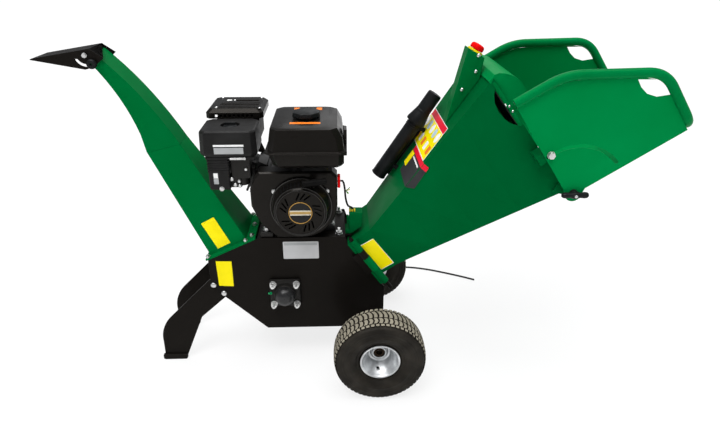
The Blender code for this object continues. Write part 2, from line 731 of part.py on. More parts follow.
def make_drive(materials):
    profile = pulley_profile(ROTOR_PULLEY_RADIUS, ROTOR_SHAFT_RADIUS + GAP, 0.026)
    turned("rotor_pulley", profile, (ROTOR_X, BELT_MID_Y, ROTOR_Z), (0, 1, 0),
           materials["cast"], 24, closed=True)
    profile = pulley_profile(DRIVE_PULLEY_RADIUS, CRANK_RADIUS + GAP, 0.020)
    turned("drive_pulley", profile, (SHAFT_X, BELT_MID_Y, SHAFT_Z), (0, 1, 0),
           materials["cast"], 20, closed=True)
    half = PULLEY_WIDTH / 2 - 0.004
    rest = BELT_REST - BELT_DEPTH * 0.5
    back = rest + BELT_DEPTH
    loops = []
    for offset, y in ((rest, -half), (back, -half), (back, half), (rest, half)):
        loops.append(belt_loop(DRIVE_PULLEY_RADIUS + offset, ROTOR_PULLEY_RADIUS + offset,
                               BELT_MID_Y + y, 14))
    skin("drive_belt", loops, materials["belt"], ends="meet")

    inner_top = DRIVE_PULLEY_RADIUS + BELT_DEPTH * 0.5 + GUARD_CLEAR
    inner_low = ROTOR_PULLEY_RADIUS + BELT_DEPTH * 0.5 + GUARD_CLEAR
    y_open = BLOCK_BACK + 0.006
    y_back = BELT_MID_Y + PULLEY_WIDTH / 2 + 0.022
    loops = []
    for offset, y in ((0, y_back - GUARD_GAUGE), (0, y_open), (GUARD_GAUGE, y_open),
                      (GUARD_GAUGE, y_back - 0.005), (GUARD_GAUGE - 0.005, y_back)):
        loops.append(belt_loop(inner_top + offset, inner_low + offset, y, 12))
    guard = skin("belt_guard", loops, materials["black"])
    for number, angle in enumerate((radians(150.0), radians(270.0), radians(20.0))):
        x = ROTOR_X + (inner_low + 0.010) * cos(angle)
        z = ROTOR_Z + (inner_low + 0.010) * sin(angle)
        foot = rod(f"guard foot {number}", (x, BODY_HALF + GAP, z), (x, y_open + 0.014, z),
                   0.010, materials["black"], 16)
        join(guard, foot)


# Discharge chute

def bezier(points, share):
    first = Vector(points[0]).lerp(Vector(points[1]), share)
    second = Vector(points[1]).lerp(Vector(points[2]), share)
    return first.lerp(second, share)


def chute_loop(outer_point, inner_point, half, inset=0.0):
    """Four corners of a chute section, drawn in by the wall."""
    outer_point = Vector(outer_point)
    inner_point = Vector(inner_point)
    step = (inner_point - outer_point).normalized() * inset
    low = outer_point + step
    high = inner_point - step
    width = half - inset
    return [(low.x, -width, low.y), (high.x, -width, high.y),
            (high.x, width, high.y), (low.x, width, low.y)]


def deflector_knob_point():
    """Where the stud of the deflector's knob stands, in the side view."""
    x = DEFLECTOR_PIVOT_X + DEFLECTOR_SLOT_RADIUS * cos(DEFLECTOR_KNOB_ANGLE)
    z = DEFLECTOR_PIVOT_Z + DEFLECTOR_SLOT_RADIUS * sin(DEFLECTOR_KNOB_ANGLE)
    return x, z


def make_chute(materials):
    green = materials["green"]
    base_lift = GAP
    flange_lift = base_lift + FLANGE_GAUGE
    base_outer = seat_point(0.008, base_lift)
    base_inner = seat_point(CHUTE_SEAT_LENGTH - 0.040, base_lift)
    kink_outer = KINK_OUTER
    kink_inner = KINK_INNER
    flange_ends = (seat_point(-0.006, base_lift), seat_point(CHUTE_SEAT_LENGTH - 0.009, base_lift))
    flange_tops = (seat_point(-0.006, flange_lift), seat_point(CHUTE_SEAT_LENGTH - 0.009, flange_lift))
    raised = (seat_point(0.008, flange_lift), seat_point(CHUTE_SEAT_LENGTH - 0.040, flange_lift))
    outside = [
        chute_loop(*flange_ends, BODY_HALF),
        chute_loop(*flange_tops, BODY_HALF),
        chute_loop(*raised, CHUTE_BASE_HALF),
        chute_loop(kink_outer, kink_inner, CHUTE_HALF),
    ]
    inside = [
        chute_loop(kink_outer, kink_inner, CHUTE_HALF, CHUTE_GAUGE),
        chute_loop(base_outer, base_inner, CHUTE_BASE_HALF, CHUTE_GAUGE),
    ]
    skin("chute_lower", outside + inside, green, ends="meet", inside_from=len(outside))

    start = GAP
    outer_curve = [(KINK_OUTER[0] - 0.0005, KINK_OUTER[1] + start), BEND_OUTER, OUTLET_OUTER]
    inner_curve = [(KINK_INNER[0] - 0.0002, KINK_INNER[1] + start), BEND_INNER, OUTLET_INNER]
    steps = 9
    shares = [step / steps for step in range(steps + 1)]
    outside = [chute_loop(bezier(outer_curve, share), bezier(inner_curve, share), CHUTE_HALF)
               for share in shares]
    inside = [chute_loop(bezier(outer_curve, share), bezier(inner_curve, share), CHUTE_HALF,
                         CHUTE_GAUGE) for share in reversed(shares)]
    upper = skin("chute_upper", outside + inside, green, ends="meet")
    pivot = (DEFLECTOR_PIVOT_X, DEFLECTOR_PIVOT_Z)
    cheek_outline = arc(pivot, 0.0095, radians(60.0), radians(240.0), 8)
    cheek_outline += [(-0.700, 0.938), (-0.670, 0.925), (-0.672, 0.946), (-0.690, 0.964)]
    knob = deflector_knob_point()
    for side in (-1, 1):
        inner = CHUTE_HALF - CHUTE_GAUGE
        y_pair = sorted((side * inner, side * (CHUTE_HALF + 0.0005)))
        join(upper, prism(f"chute cheek {side}", cheek_outline, *y_pair, green))
        join(upper, rod(f"deflector bolt {side}", (pivot[0], side * (CHUTE_HALF - 0.002), pivot[1]),
                        (pivot[0], side * (DEFLECTOR_HALF + 0.0035), pivot[1]), 0.004, green, 16))
    stud_start = (knob[0], -(CHUTE_HALF - 0.002), knob[1])
    join(upper, rod("knob stud", stud_start, (knob[0], -(DEFLECTOR_HALF + 0.006), knob[1]),
                    0.0028, green, 12))

    hood = prism("deflector", DEFLECTOR_SIDE, -DEFLECTOR_HALF, DEFLECTOR_HALF, materials["black"])
    ridge = DEFLECTOR_SIDE[4]
    lip = DEFLECTOR_SIDE[5]
    heel = DEFLECTOR_SIDE[3]
    under = [(lip[0] - 0.025, lip[1] - 0.022), (heel[0] + 0.023, heel[1] - 0.063)]
    under += [(heel[0] + 0.023, ridge[1] + 0.003), (ridge[0] + 0.0005, ridge[1] + 0.003)]
    under += [(ridge[0] + 0.0005, ridge[1] - DEFLECTOR_GAUGE)]
    under += [(lip[0] - 0.025, lip[1] - 0.0045 - DEFLECTOR_GAUGE)]
    half = DEFLECTOR_HALF - DEFLECTOR_GAUGE
    cut(hood, prism("hood inside", under, -half, half, materials["black"]))
    cut(hood, rod("deflector pivot hole", (pivot[0], -0.07, pivot[1]), (pivot[0], 0.07, pivot[1]),
                  0.004 + GAP, materials["black"], 16))
    cut(hood, curved_slot("deflector slot", pivot, DEFLECTOR_SLOT_RADIUS, DEFLECTOR_SLOT_WIDTH,
                          radians(-154.0), radians(-52.0), -0.07, 0.07, materials["black"]))
    grip = [(0.0028 + GAP, 0), (0.011, 0), (0.013, 0.003), (0.013, 0.010), (0.010, 0.013),
            (0.0028 + GAP, 0.013)]
    turned("deflector_knob", grip, (knob[0], -(DEFLECTOR_HALF + GAP), knob[1]), (0, -1, 0),
           materials["plastic"], 18, closed=True)


# Hopper and feed tray

def feed_loop(along, low, high, half_low, half_high, inset=0.0):
    """Four corners of a hopper section, square to the feed."""
    corners = []
    for rise, half, side in ((low + inset, half_low - inset, -1), (high - inset, half_high - inset, -1),
                             (high - inset, half_high - inset, 1), (low + inset, half_low - inset, 1)):
        x, z = feed(along, rise)
        corners.append((x, side * half, z))
    return corners


def make_hopper(materials):
    green = materials["green"]
    face = INLET_AT + 0.0006
    back = face + FLANGE_GAUGE
    duct_half = BODY_HALF - 0.004
    flange_half = BODY_HALF - 0.003
    duct = (THROAT_LOW, THROAT_HIGH + 0.002, duct_half, duct_half)
    mouth = (MOUTH_LOW, MOUTH_HIGH, MOUTH_HALF_LOW, MOUTH_HALF_HIGH)
    flange = (INLET_LOW + 0.012, INLET_HIGH + 0.001, flange_half, flange_half)
    outside = [feed_loop(face, *flange), feed_loop(back, *flange), feed_loop(back, *duct)]
    inside = []
    steps = 4
    for step in range(steps + 1):
        share = step / steps
        along = FLARE_FROM + (MOUTH_AT - FLARE_FROM) * share
        section = [start + (end - start) * share for start, end in zip(duct, mouth)]
        outside.append(feed_loop(along, *section))
        inside.append(feed_loop(along, *section, SHEET))
    inside.reverse()
    inside.append(feed_loop(face, *duct, SHEET))
    funnel = skin("hopper_funnel", outside + inside, green, ends="meet",
                  inside_from=len(outside))

    web_y = (HINGE_Y - 0.004, -BODY_HALF + 0.006)
    for label, low, high in (("low", 0.182, KNUCKLE_MID_LOW - GAP),
                             ("high", KNUCKLE_MID_HIGH + GAP, INLET_HIGH + 0.003)):
        pieces = make_hinge_knuckle(f"hopper knuckle {label}", low, high, face + GAP, HINGE_AT,
                                    web_y, green)
        for piece in pieces:
            join(funnel, piece)
    cut(funnel, hinge_bore("hopper knuckle bore", green))

    # The near wall has a round-ended window beside the mouth
    window = [(MOUTH_AT - 0.005, 0.510), (MOUTH_AT - 0.012, 0.507), (MOUTH_AT - 0.022, 0.495)]
    window += [(MOUTH_AT - 0.031, 0.477), (MOUTH_AT - 0.035, 0.452), (MOUTH_AT - 0.032, 0.428)]
    window += [(MOUTH_AT - 0.024, 0.408), (MOUTH_AT - 0.012, 0.395), (MOUTH_AT - 0.005, 0.390)]
    outline = [feed(along, rise) for along, rise in window]
    cut(funnel, prism("mouth window", outline, -0.30, -0.06, green))

    pivot = (TRAY_PIVOT_X, TRAY_PIVOT_Z)
    reach = TRAY_HALF + SHEET / 2
    guide = (pivot[0] + TRAY_SLOT_RADIUS * cos(TRAY_GUIDE_ANGLE),
             pivot[1] + TRAY_SLOT_RADIUS * sin(TRAY_GUIDE_ANGLE))
    guide_rise = guide[1] * cos(FEED_TILT) - guide[0] * sin(FEED_TILT)
    guide_along = guide[0] * cos(FEED_TILT) + guide[1] * sin(FEED_TILT)
    guide_share = (guide_rise - MOUTH_LOW) / (MOUTH_HIGH - MOUTH_LOW)
    guide_wall = MOUTH_HALF_LOW + (MOUTH_HALF_HIGH - MOUTH_HALF_LOW) * guide_share
    for side in (-1, 1):
        wall = MOUTH_HALF_LOW - SHEET * 0.6
        ear = arc(pivot, 0.024, radians(-150.0), radians(60.0), 9)
        ear += [(pivot[0] - 0.020, pivot[1] + 0.036), (pivot[0] - 0.048, pivot[1] - 0.006)]
        ear_y = sorted((side * (wall - 0.004), side * (wall + 0.004)))
        join(funnel, prism(f"pivot ear {side}", ear, *ear_y, green))
        join(funnel, rod(f"pivot boss {side}", (pivot[0], side * wall, pivot[1]),
                         (pivot[0], side * (TRAY_HALF - SHEET / 2 - GAP), pivot[1]), 0.013, green, 14))
        join(funnel, rod(f"pivot stud {side}", (pivot[0], side * wall, pivot[1]),
                         (pivot[0], side * (reach + STUD_REACH), pivot[1]),
                         TRAY_STUD_RADIUS, green, 16))
        tip = guide_along + 0.0095
        bracket = [feed(MOUTH_AT - 0.024, guide_rise - 0.014)]
        bracket += [feed(tip - 0.004, guide_rise - 0.010), feed(tip, guide_rise)]
        bracket += [feed(tip - 0.004, guide_rise + 0.010)]
        bracket += [feed(MOUTH_AT - 0.024, guide_rise + 0.014)]
        bracket_y = sorted((side * (guide_wall - 0.0017), side * (TRAY_HALF - SHEET / 2 - GAP)))
        join(funnel, prism(f"guide bracket {side}", bracket, *bracket_y, green))
        join(funnel, rod(f"guide bolt {side}", (guide[0], side * (guide_wall + 0.015), guide[1]),
                         (guide[0], side * (reach + 0.006), guide[1]), 0.004, green, 16))

    cowl_at = feed(MOUTH_AT, MOUTH_HIGH)
    lift = GAP + 0.0002
    ridge = [top_point(MOUTH_AT - 0.014, lift), (cowl_at[0] + 0.004, cowl_at[1] + 0.006)]
    ridge += arc((cowl_at[0] + 0.016, cowl_at[1] - 0.070), 0.080, radians(92.0), radians(14.0), 8)
    bent_sheet("hopper_cowl", ridge, SHEET, MOUTH_HALF_HIGH - 0.001, green)

    make_stop_box(materials)
    make_manual_tube(materials)


def top_point(along, lift):
    """A point over the sloping top wall of the funnel."""
    share = (along - FLARE_FROM) / (MOUTH_AT - FLARE_FROM)
    rise = THROAT_HIGH + 0.002 + (MOUTH_HIGH - THROAT_HIGH - 0.002) * share
    start = Vector(feed(along, rise))
    slope = Vector(feed(MOUTH_AT, MOUTH_HIGH)) - Vector(feed(FLARE_FROM, THROAT_HIGH + 0.002))
    normal = Vector((-slope.y, slope.x)).normalized()
    point = start + normal * lift
    return point.x, point.y


def make_stop_box(materials):
    """The wedge-shaped box on top of the funnel, and its mushroom button."""
    green = materials["green"]
    near = STOP_BOX_Y - STOP_BOX_WIDTH / 2
    far = STOP_BOX_Y + STOP_BOX_WIDTH / 2
    foot = top_point(STOP_BOX_FROM, GAP)
    heel = top_point(STOP_BOX_TO, GAP)
    brow = top_point(STOP_BOX_BROW_AT, STOP_BOX_BROW_LIFT)
    crown = top_point(STOP_BOX_CROWN_AT, STOP_BOX_CROWN_LIFT)
    outline = [foot, heel, brow, crown]
    case = prism("estop_box", outline, near, far, green)
    soften(case, 0.0015)
    middle_y = STOP_BOX_Y
    face = Vector(brow) - Vector(crown)
    out = Vector((-face.y, face.x)).normalized()
    centre = Vector(crown) + face * 0.5
    axis = (out.x, 0, out.y)
    stem_hole = rod("stop stem hole", tuple(Vector((centre.x, middle_y, centre.y)) - Vector(axis) * 0.024),
                    tuple(Vector((centre.x, middle_y, centre.y)) + Vector(axis) * 0.01),
                    0.0075 + GAP, green, 18)
    cut(case, stem_hole)
    base = Vector((centre.x, middle_y, centre.y)) + Vector(axis) * 0.0062
    profile = [(0, -0.024), (0.0075, -0.024), (0.0075, 0.0), (0.0185, 0.0), (0.0195, 0.004),
               (0.0185, 0.013), (0.012, 0.016), (0, 0.017)]
    turned("estop_button", profile, tuple(base), axis, materials["red"], 24)


def make_manual_tube(materials):
    """The tube for papers, clipped over the far edge of the funnel's top wall."""
    black = materials["plastic"]
    lift = TUBE_LIFT
    side = TUBE_Y
    low = top_point(TUBE_FROM, lift)
    high = top_point(TUBE_CAP_AT, lift)
    start = Vector((low[0], side, low[1]))
    end = Vector((high[0], side, high[1]))
    length = (end - start).length
    axis = (end - start).normalized()
    wall = 0.002
    profile = [(0, 0), (0.021, 0), (0.0225, 0.0015), (0.0225, length - 0.060),
               (0.0225 - wall, length - 0.060), (0.0225 - wall, 0.003), (0, 0.003)]
    body = turned("manual_tube", profile, tuple(start), tuple(axis), black, 16)
    for number, along in enumerate((0.455, 0.590)):
        foot = top_point(along, GAP)
        head = top_point(along, lift - 0.021)
        clip = rod(f"tube clip {number}", (foot[0], side, foot[1]), (head[0], side, head[1]),
                   0.008, black, 12)
        join(body, clip)
    cap = [(0, 0.0), (0.0225 - wall - GAP, 0.0), (0.0225 - wall - GAP, 0.0125), (0.0265, 0.0125),
           (0.0265, 0.030), (0.0205, 0.033), (0.0205, 0.070), (0, 0.072)]
    turned("tube_cap", cap, tuple(start + axis * (length - 0.0722)), tuple(axis), black, 16)


def make_tray(materials):
    green = materials["green"]
    half = TRAY_HALF
    reach = half + 0.064
    rim = eased(TRAY_ROUTE, TRAY_CORNER, 3)
    wing = offset_path(rim, HAND_TUBE_RADIUS + GAP)
    floor_slope = Vector((cos(TRAY_FLOOR_SLOPE), sin(TRAY_FLOOR_SLOPE)))
    floor_end = Vector(TRAY_ROUTE[-1]) - floor_slope * (HAND_TUBE_RADIUS + GAP)
    floor_start = floor_end - floor_slope * TRAY_FLOOR_LENGTH
    drop = Vector((floor_slope.y, -floor_slope.x)) * 0.002
    pivot = (TRAY_PIVOT_X, TRAY_PIVOT_Z)
    wing += [tuple(floor_end + drop), (pivot[0] + 0.029, pivot[1] + 0.014)]
    wing += arc(pivot, 0.023, radians(0.0), radians(-140.0), 8)
    wing += [(pivot[0] - 0.027, pivot[1] + 0.010)]
    shells = []
    for label, side in (("near", -1), ("far", 1)):
        y_pair = (side * half - SHEET / 2, side * half + SHEET / 2)
        shells.append(prism(f"tray wing {label}", wing, *y_pair, green))
    lift = Vector((-floor_slope.y, floor_slope.x)) * SHEET
    outline = [tuple(floor_start), tuple(floor_end), tuple(floor_end + lift)]
    outline.append(tuple(floor_start + lift))
    tray = prism("tray_shell", outline, -half, half, green)
    # A narrower tongue carries the floor in between the pivot ears to the lip of the mouth
    root = floor_start + floor_slope * 0.003 + lift * 0.08
    tip = floor_start - floor_slope * TRAY_TONGUE + lift * 0.08
    gauge = lift * 0.84
    outline = [tuple(tip), tuple(root), tuple(root + gauge), tuple(tip + gauge)]
    tongue_half = MOUTH_HALF_LOW - 0.012
    join(tray, prism("tray tongue", outline, -tongue_half, tongue_half, green))
    for shell in shells:
        join(tray, shell)
    slot_start = TRAY_GUIDE_ANGLE - TRAY_SWING - TRAY_SLOT_SPARE
    slot_end = TRAY_GUIDE_ANGLE + TRAY_SLOT_SPARE
    cut(tray, curved_slot("tray slot", pivot, TRAY_SLOT_RADIUS, TRAY_SLOT_WIDTH,
                          slot_start, slot_end, -reach, reach, green, 10))
    cut(tray, rod("tray pivot hole", (pivot[0], -reach, pivot[1]), (pivot[0], reach, pivot[1]),
                  TRAY_STUD_RADIUS + GAP, green, 16))
    cut(tray, prism("hand hole", HAND_HOLE, -reach, reach, green))

    route = [(x, -half, z) for x, z in TRAY_ROUTE]
    route += [(x, half, z) for x, z in reversed(TRAY_ROUTE)]
    tube("tray_tube", eased(route, TRAY_CORNER, 3), HAND_TUBE_RADIUS, green, 3)

    stud = TRAY_STUD_RADIUS
    face = half + SHEET / 2 + GAP
    grip = [(0, STUD_REACH + GAP), (stud + GAP, STUD_REACH + GAP), (stud + GAP, 0), (0.012, 0),
            (0.012, STUD_REACH + 0.004), (0, STUD_REACH + 0.004)]
    for label, side in (("near", -1), ("far", 1)):
        hub = turned(f"tray_knob_{label}", grip, (pivot[0], side * face, pivot[1]), (0, side, 0),
                     materials["plastic"], 16)
        y_pair = sorted((side * (face + STUD_REACH + 0.001), side * (face + STUD_REACH + 0.013)))
        bar = block(f"knob bar {label}", (pivot[0] - 0.036, pivot[0] + 0.036), y_pair,
                    (pivot[1] - 0.008, pivot[1] + 0.008), materials["plastic"])
        soften(bar, 0.004)
        join(hub, bar)


# Engine

def make_engine_block(materials):
    deck_y = BODY_INSIDE - 0.005
    plate = block("engine_plate", (SHAFT_X - 0.124, SHAFT_X + 0.122), (-deck_y, deck_y),
                  (DECK_TOP + GAP, DECK_TOP + GAP + ENGINE_PLATE_GAUGE), materials["black"])
    soften(plate, 0.0015)
    base = ENGINE_BASE
    case = [(SHAFT_X - 0.095, base), (SHAFT_X + 0.095, base), (SHAFT_X + 0.095, base + 0.014)]
    case += [(SHAFT_X + 0.080, base + 0.020)]
    case += arc((SHAFT_X, SHAFT_Z), CASE_RADIUS, radians(-35.0), radians(90.0), 9)
    case += [(SHAFT_X - CASE_RADIUS, SHAFT_Z + CASE_RADIUS), (SHAFT_X - CASE_RADIUS, base + 0.020)]
    case += [(SHAFT_X - 0.095, base + 0.014)]
    engine = prism("engine_block", case, BLOCK_FRONT, BLOCK_BACK - 0.012, materials["cast"])
    axis = Vector((cos(CYLINDER_TILT), sin(CYLINDER_TILT)))
    across = Vector((-axis.y, axis.x))
    centre = Vector((SHAFT_X, SHAFT_Z))
    middle = HEAD_MIDDLE
    core = [centre + axis * 0.060 + across * 0.040, centre + axis * 0.132 + across * 0.040]
    core += [centre + axis * 0.132 - across * 0.040, centre + axis * 0.060 - across * 0.040]
    join(engine, prism("barrel core", [tuple(p) for p in core], middle - 0.044, middle + 0.044,
                       materials["cast"]))
    fins = 5
    for number in range(fins):
        reach = 0.088 + number * 0.010
        fin = [centre + axis * reach + across * 0.052, centre + axis * (reach + 0.003) + across * 0.052]
        fin += [centre + axis * (reach + 0.003) - across * 0.052, centre + axis * reach - across * 0.052]
        join(engine, prism(f"barrel fin {number}", [tuple(p) for p in fin], middle - 0.056,
                           middle + 0.056, materials["cast"]))
    join(engine, rod("shaft housing", (SHAFT_X, BLOCK_BACK - 0.02, SHAFT_Z),
                     (SHAFT_X, BLOCK_BACK, SHAFT_Z), 0.046, materials["cast"], 28))
    cut(engine, rod("crank tunnel", (SHAFT_X, BLOCK_FRONT - 0.01, SHAFT_Z),
                    (SHAFT_X, BLOCK_BACK + 0.01, SHAFT_Z), CRANK_RADIUS + GAP, materials["cast"], 24))

    head_start = 0.132 + GAP
    span = across * HEAD_SPAN
    head = [centre + axis * head_start + span, centre + axis * HEAD_REACH + span]
    head += [centre + axis * HEAD_REACH - span, centre + axis * head_start - span]
    top = prism("cylinder_head", [tuple(p) for p in head], middle - HEAD_HALF, middle + HEAD_HALF,
                materials["cast"])
    cover = [centre + axis * 0.155 + across * 0.036, centre + axis * 0.184 + across * 0.036]
    cover += [centre + axis * 0.190 + across * 0.028, centre + axis * 0.190 - across * 0.028]
    cover += [centre + axis * 0.184 - across * 0.036, centre + axis * 0.155 - across * 0.036]
    join(top, prism("valve cover", [tuple(p) for p in cover], middle - 0.040, middle + 0.040,
                    materials["cast"]))
    for number in range(2):
        reach = 0.1385 + number * 0.010
        slit = [centre + axis * reach + across * 0.060, centre + axis * (reach + 0.005) + across * 0.060]
        slit += [centre + axis * (reach + 0.005) + across * 0.034]
        slit += [centre + axis * reach + across * 0.034]
        cut(top, prism(f"head slit {number}", [tuple(p) for p in slit], middle - 0.07, middle + 0.07,
                       materials["cast"]))


def make_crank(materials):
    """Crankshaft with the flywheel fan, in one piece behind the recoil starter."""
    front = BLOCK_FRONT - 0.030
    back = BELT_MID_Y + PULLEY_WIDTH / 2 + 0.008
    disc = 0.070
    profile = [
        (0, front), (0.018, front), (0.018, front + 0.008), (disc, front + 0.010),
        (disc, front + 0.026), (CRANK_RADIUS + 0.002, front + 0.027),
        (CRANK_RADIUS, BLOCK_FRONT - 0.001), (CRANK_RADIUS, back), (0, back),
    ]
    crank = turned("crankshaft", profile, (SHAFT_X, 0, SHAFT_Z), (0, 1, 0), materials["cast"], 24)
    blades = 8
    for number in range(blades):
        angle = 2 * pi * number / blades
        out = Vector((cos(angle), sin(angle)))
        across = Vector((-out.y, out.x)) * 0.0015
        centre = Vector((SHAFT_X, SHAFT_Z))
        blade = [centre + out * 0.040 + across, centre + out * 0.066 + across]
        blade += [centre + out * 0.066 - across, centre + out * 0.040 - across]
        join(crank, prism(f"fan blade {number}", [tuple(p) for p in blade], front + 0.001,
                          front + 0.012, materials["cast"]))


def shroud_outline(inset=0.0):
    """Outline of the shroud from the right, clockwise round the bottom."""
    radius = SHROUD_RADIUS - inset
    left = SHAFT_X - SHROUD_LEFT + inset
    right = SHAFT_X + radius
    top = SHAFT_Z + SHROUD_TOP - inset
    skirt = SHAFT_X - SHROUD_SKIRT + inset
    low = SHAFT_Z - radius
    corner = 0.014
    outline = arc((SHAFT_X, SHAFT_Z), radius, radians(0.0), radians(-90.0), 8)
    outline += [(SHAFT_X - 0.034, low), (SHAFT_X - 0.068, low), (SHAFT_X - 0.103 + inset * 0.55, low)]
    outline += [(skirt + 0.010, SHAFT_Z - 0.0575), (skirt, SHAFT_Z), (skirt, SHAFT_Z + 0.054)]
    outline += [(left, SHAFT_Z + 0.081), (left, top - corner)]
    outline += [(left + corner, top), (SHAFT_X - 0.060, top), (SHAFT_X, top)]
    outline += [(SHAFT_X + 0.050, top), (right - corner, top), (right, top - corner)]
    outline += [(right, SHAFT_Z + 0.045)]
    return outline


def rope_guide_end():
    """The mouth of the rope guide, on the line along which the starter is pulled."""
    start = Vector((SHAFT_X + 0.030, SHROUD_FRONT - GAP - 0.010, SHAFT_Z + 0.066))
    return start + Vector(ROPE_PULL).normalized() * ROPE_GUIDE_LENGTH


def make_blower(materials):
    """Blower shroud, recoil starter cover with its louvres, and the starter grip."""
    black = materials["engine"]
    back = BLOCK_FRONT - GAP
    edge = 0.005
    front = SHROUD_FRONT
    inner_front = SHROUD_FRONT + SHROUD_GAUGE

    def level(inset, y):
        return [(x, y, z) for x, z in shroud_outline(inset)]

    def ring(y):
        points = []
        for x, z in shroud_outline():
            angle = atan2(z - SHAFT_Z, x - SHAFT_X)
            points.append((SHAFT_X + AIR_INLET_RADIUS * cos(angle), y,
                           SHAFT_Z + AIR_INLET_RADIUS * sin(angle)))
        return points

    loops = [level(0, back), level(0, front + edge), level(edge, front), ring(front)]
    loops += [ring(inner_front), level(edge, inner_front)]
    loops += [level(SHROUD_GAUGE, front + edge + 0.001), level(SHROUD_GAUGE, back)]
    skin("blower_shroud", loops, black, ends="meet")

    seat = SHROUD_FRONT - GAP
    wall = 0.002
    face_radius = 0.066
    shell = [
        (0, RECOIL_DEPTH - 0.002 - wall), (0.030, RECOIL_DEPTH - 0.002 - wall),
        (0.033, RECOIL_DEPTH - wall), (face_radius - 0.001, RECOIL_DEPTH - wall),
        (face_radius + 0.006, RECOIL_DEPTH - 0.007), (RECOIL_RADIUS - 0.008, 0.011),
        (RECOIL_RADIUS - 0.010, 0), (RECOIL_RADIUS, 0), (RECOIL_RADIUS, 0.006),
        (RECOIL_RADIUS - 0.006, 0.012), (face_radius + 0.008, RECOIL_DEPTH - 0.006),
        (face_radius, RECOIL_DEPTH), (0.034, RECOIL_DEPTH), (0.031, RECOIL_DEPTH - 0.002),
        (0, RECOIL_DEPTH - 0.002),
    ]
    cover = turned("recoil_cover", shell, (SHAFT_X, seat, SHAFT_Z), (0, -1, 0), black, 28)
    groups = 5
    slots = 3
    for group in range(groups):
        for slot in range(slots):
            angle = radians(90.0) + 2 * pi * group / groups + radians(15.0) * (slot - 1)
            inner_tip = Vector((SHAFT_X + 0.040 * cos(angle), SHAFT_Z + 0.040 * sin(angle)))
            skew = angle - radians(14.0)
            outer_tip = Vector((SHAFT_X + 0.060 * cos(skew), SHAFT_Z + 0.060 * sin(skew)))
            along = (outer_tip - inner_tip).normalized()
            across = Vector((-along.y, along.x)) * 0.0022
            slit = [inner_tip + across, outer_tip + across, outer_tip - across, inner_tip - across]
            cut(cover, prism(f"louvre {group} {slot}", [tuple(p) for p in slit],
                             seat - RECOIL_DEPTH - 0.01, seat - RECOIL_DEPTH + 0.004, black))

    pull = Vector(ROPE_PULL).normalized()
    guide_end = rope_guide_end()
    guide_start = guide_end - pull * ROPE_GUIDE_LENGTH
    join(cover, rod("rope guide", tuple(guide_start), tuple(guide_end), 0.0105, black, 16))
    cut(cover, rod("rope mouth", tuple(guide_end - pull * 0.016), tuple(guide_end + pull * 0.01),
                   ROPE_END_RADIUS + GAP, black, 12))
    profile = [(0, -0.015), (ROPE_END_RADIUS, -0.015), (ROPE_END_RADIUS, GAP), (0.0085, GAP),
               (0.010, 0.008), (0.010, 0.014), (0, 0.016)]
    grip = turned("recoil_handle", profile, tuple(guide_end), tuple(pull), materials["plastic"], 16)
    side = pull.cross(Vector((0, 0, 1))).normalized()
    middle = guide_end + pull * 0.014
    bar = rod("recoil bar", tuple(middle - side * 0.034), tuple(middle + side * 0.034), 0.009,
              materials["plastic"], 14)
    join(grip, bar)


def make_tank(materials):
    black = materials["engine"]
    low = TANK_LOW
    high = TANK_LOW + TANK_HEIGHT
    x_pair = (SHAFT_X - 0.083, SHAFT_X + 0.124)
    y_pair = (-0.143, 0.112)
    seam = low + 0.042

    def level(z, left, right, front, back, corner):
        return soft_rectangle((x_pair[0] + left, x_pair[1] - right),
                              (y_pair[0] + front, y_pair[1] - back), corner, z)

    loops = [
        level(low, 0.022, 0.008, 0.010, 0.010, 0.012),
        level(low + 0.010, 0.012, 0.000, 0.000, 0.000, 0.016),
        level(seam, 0.000, 0.000, 0.000, 0.000, 0.016),
        level(seam, -0.008, -0.008, -0.008, -0.008, 0.016),
        level(seam + 0.005, -0.008, -0.008, -0.008, -0.008, 0.016),
        level(seam + 0.005, 0.000, 0.000, 0.000, 0.000, 0.016),
        level(high - 0.030, 0.004, 0.004, 0.006, 0.006, 0.018),
        level(high - 0.014, 0.008, 0.018, 0.010, 0.010, 0.018),
        level(high - 0.006, 0.021, 0.038, 0.014, 0.014, 0.018),
        level(high, 0.034, 0.052, 0.040, 0.030, 0.020),
    ]
    tank = skin("fuel_tank", loops, black, smooth=True)
    cap_x = FUEL_CAP_X
    cap_y = FUEL_CAP_Y
    join(tank, rod("filler neck", (cap_x, cap_y, high - 0.01), (cap_x, cap_y, high + 0.004),
                   0.026, black, 24))
    for number, x in enumerate((SHAFT_X - 0.043, SHAFT_X - 0.012)):
        join(tank, rod(f"tank foot {number}", (x, 0.035, SHAFT_Z + CASE_RADIUS + GAP),
                       (x, 0.035, low + 0.01), 0.008, black, 12))
    loops = []
    for radius, z in ((0.0405, high + 0.004 + GAP), (0.0415, high + 0.008), (0.0395, high + 0.018),
                      (0.027, high + 0.021)):
        loop = []
        for turn in range(32):
            angle = 2 * pi * turn / 32
            reach = radius - 0.0018 * (1 + cos(8 * angle))
            loop.append((cap_x + reach * cos(angle), cap_y + reach * sin(angle), z))
        loops.append(loop)
    skin("fuel_cap", loops, materials["plastic"])


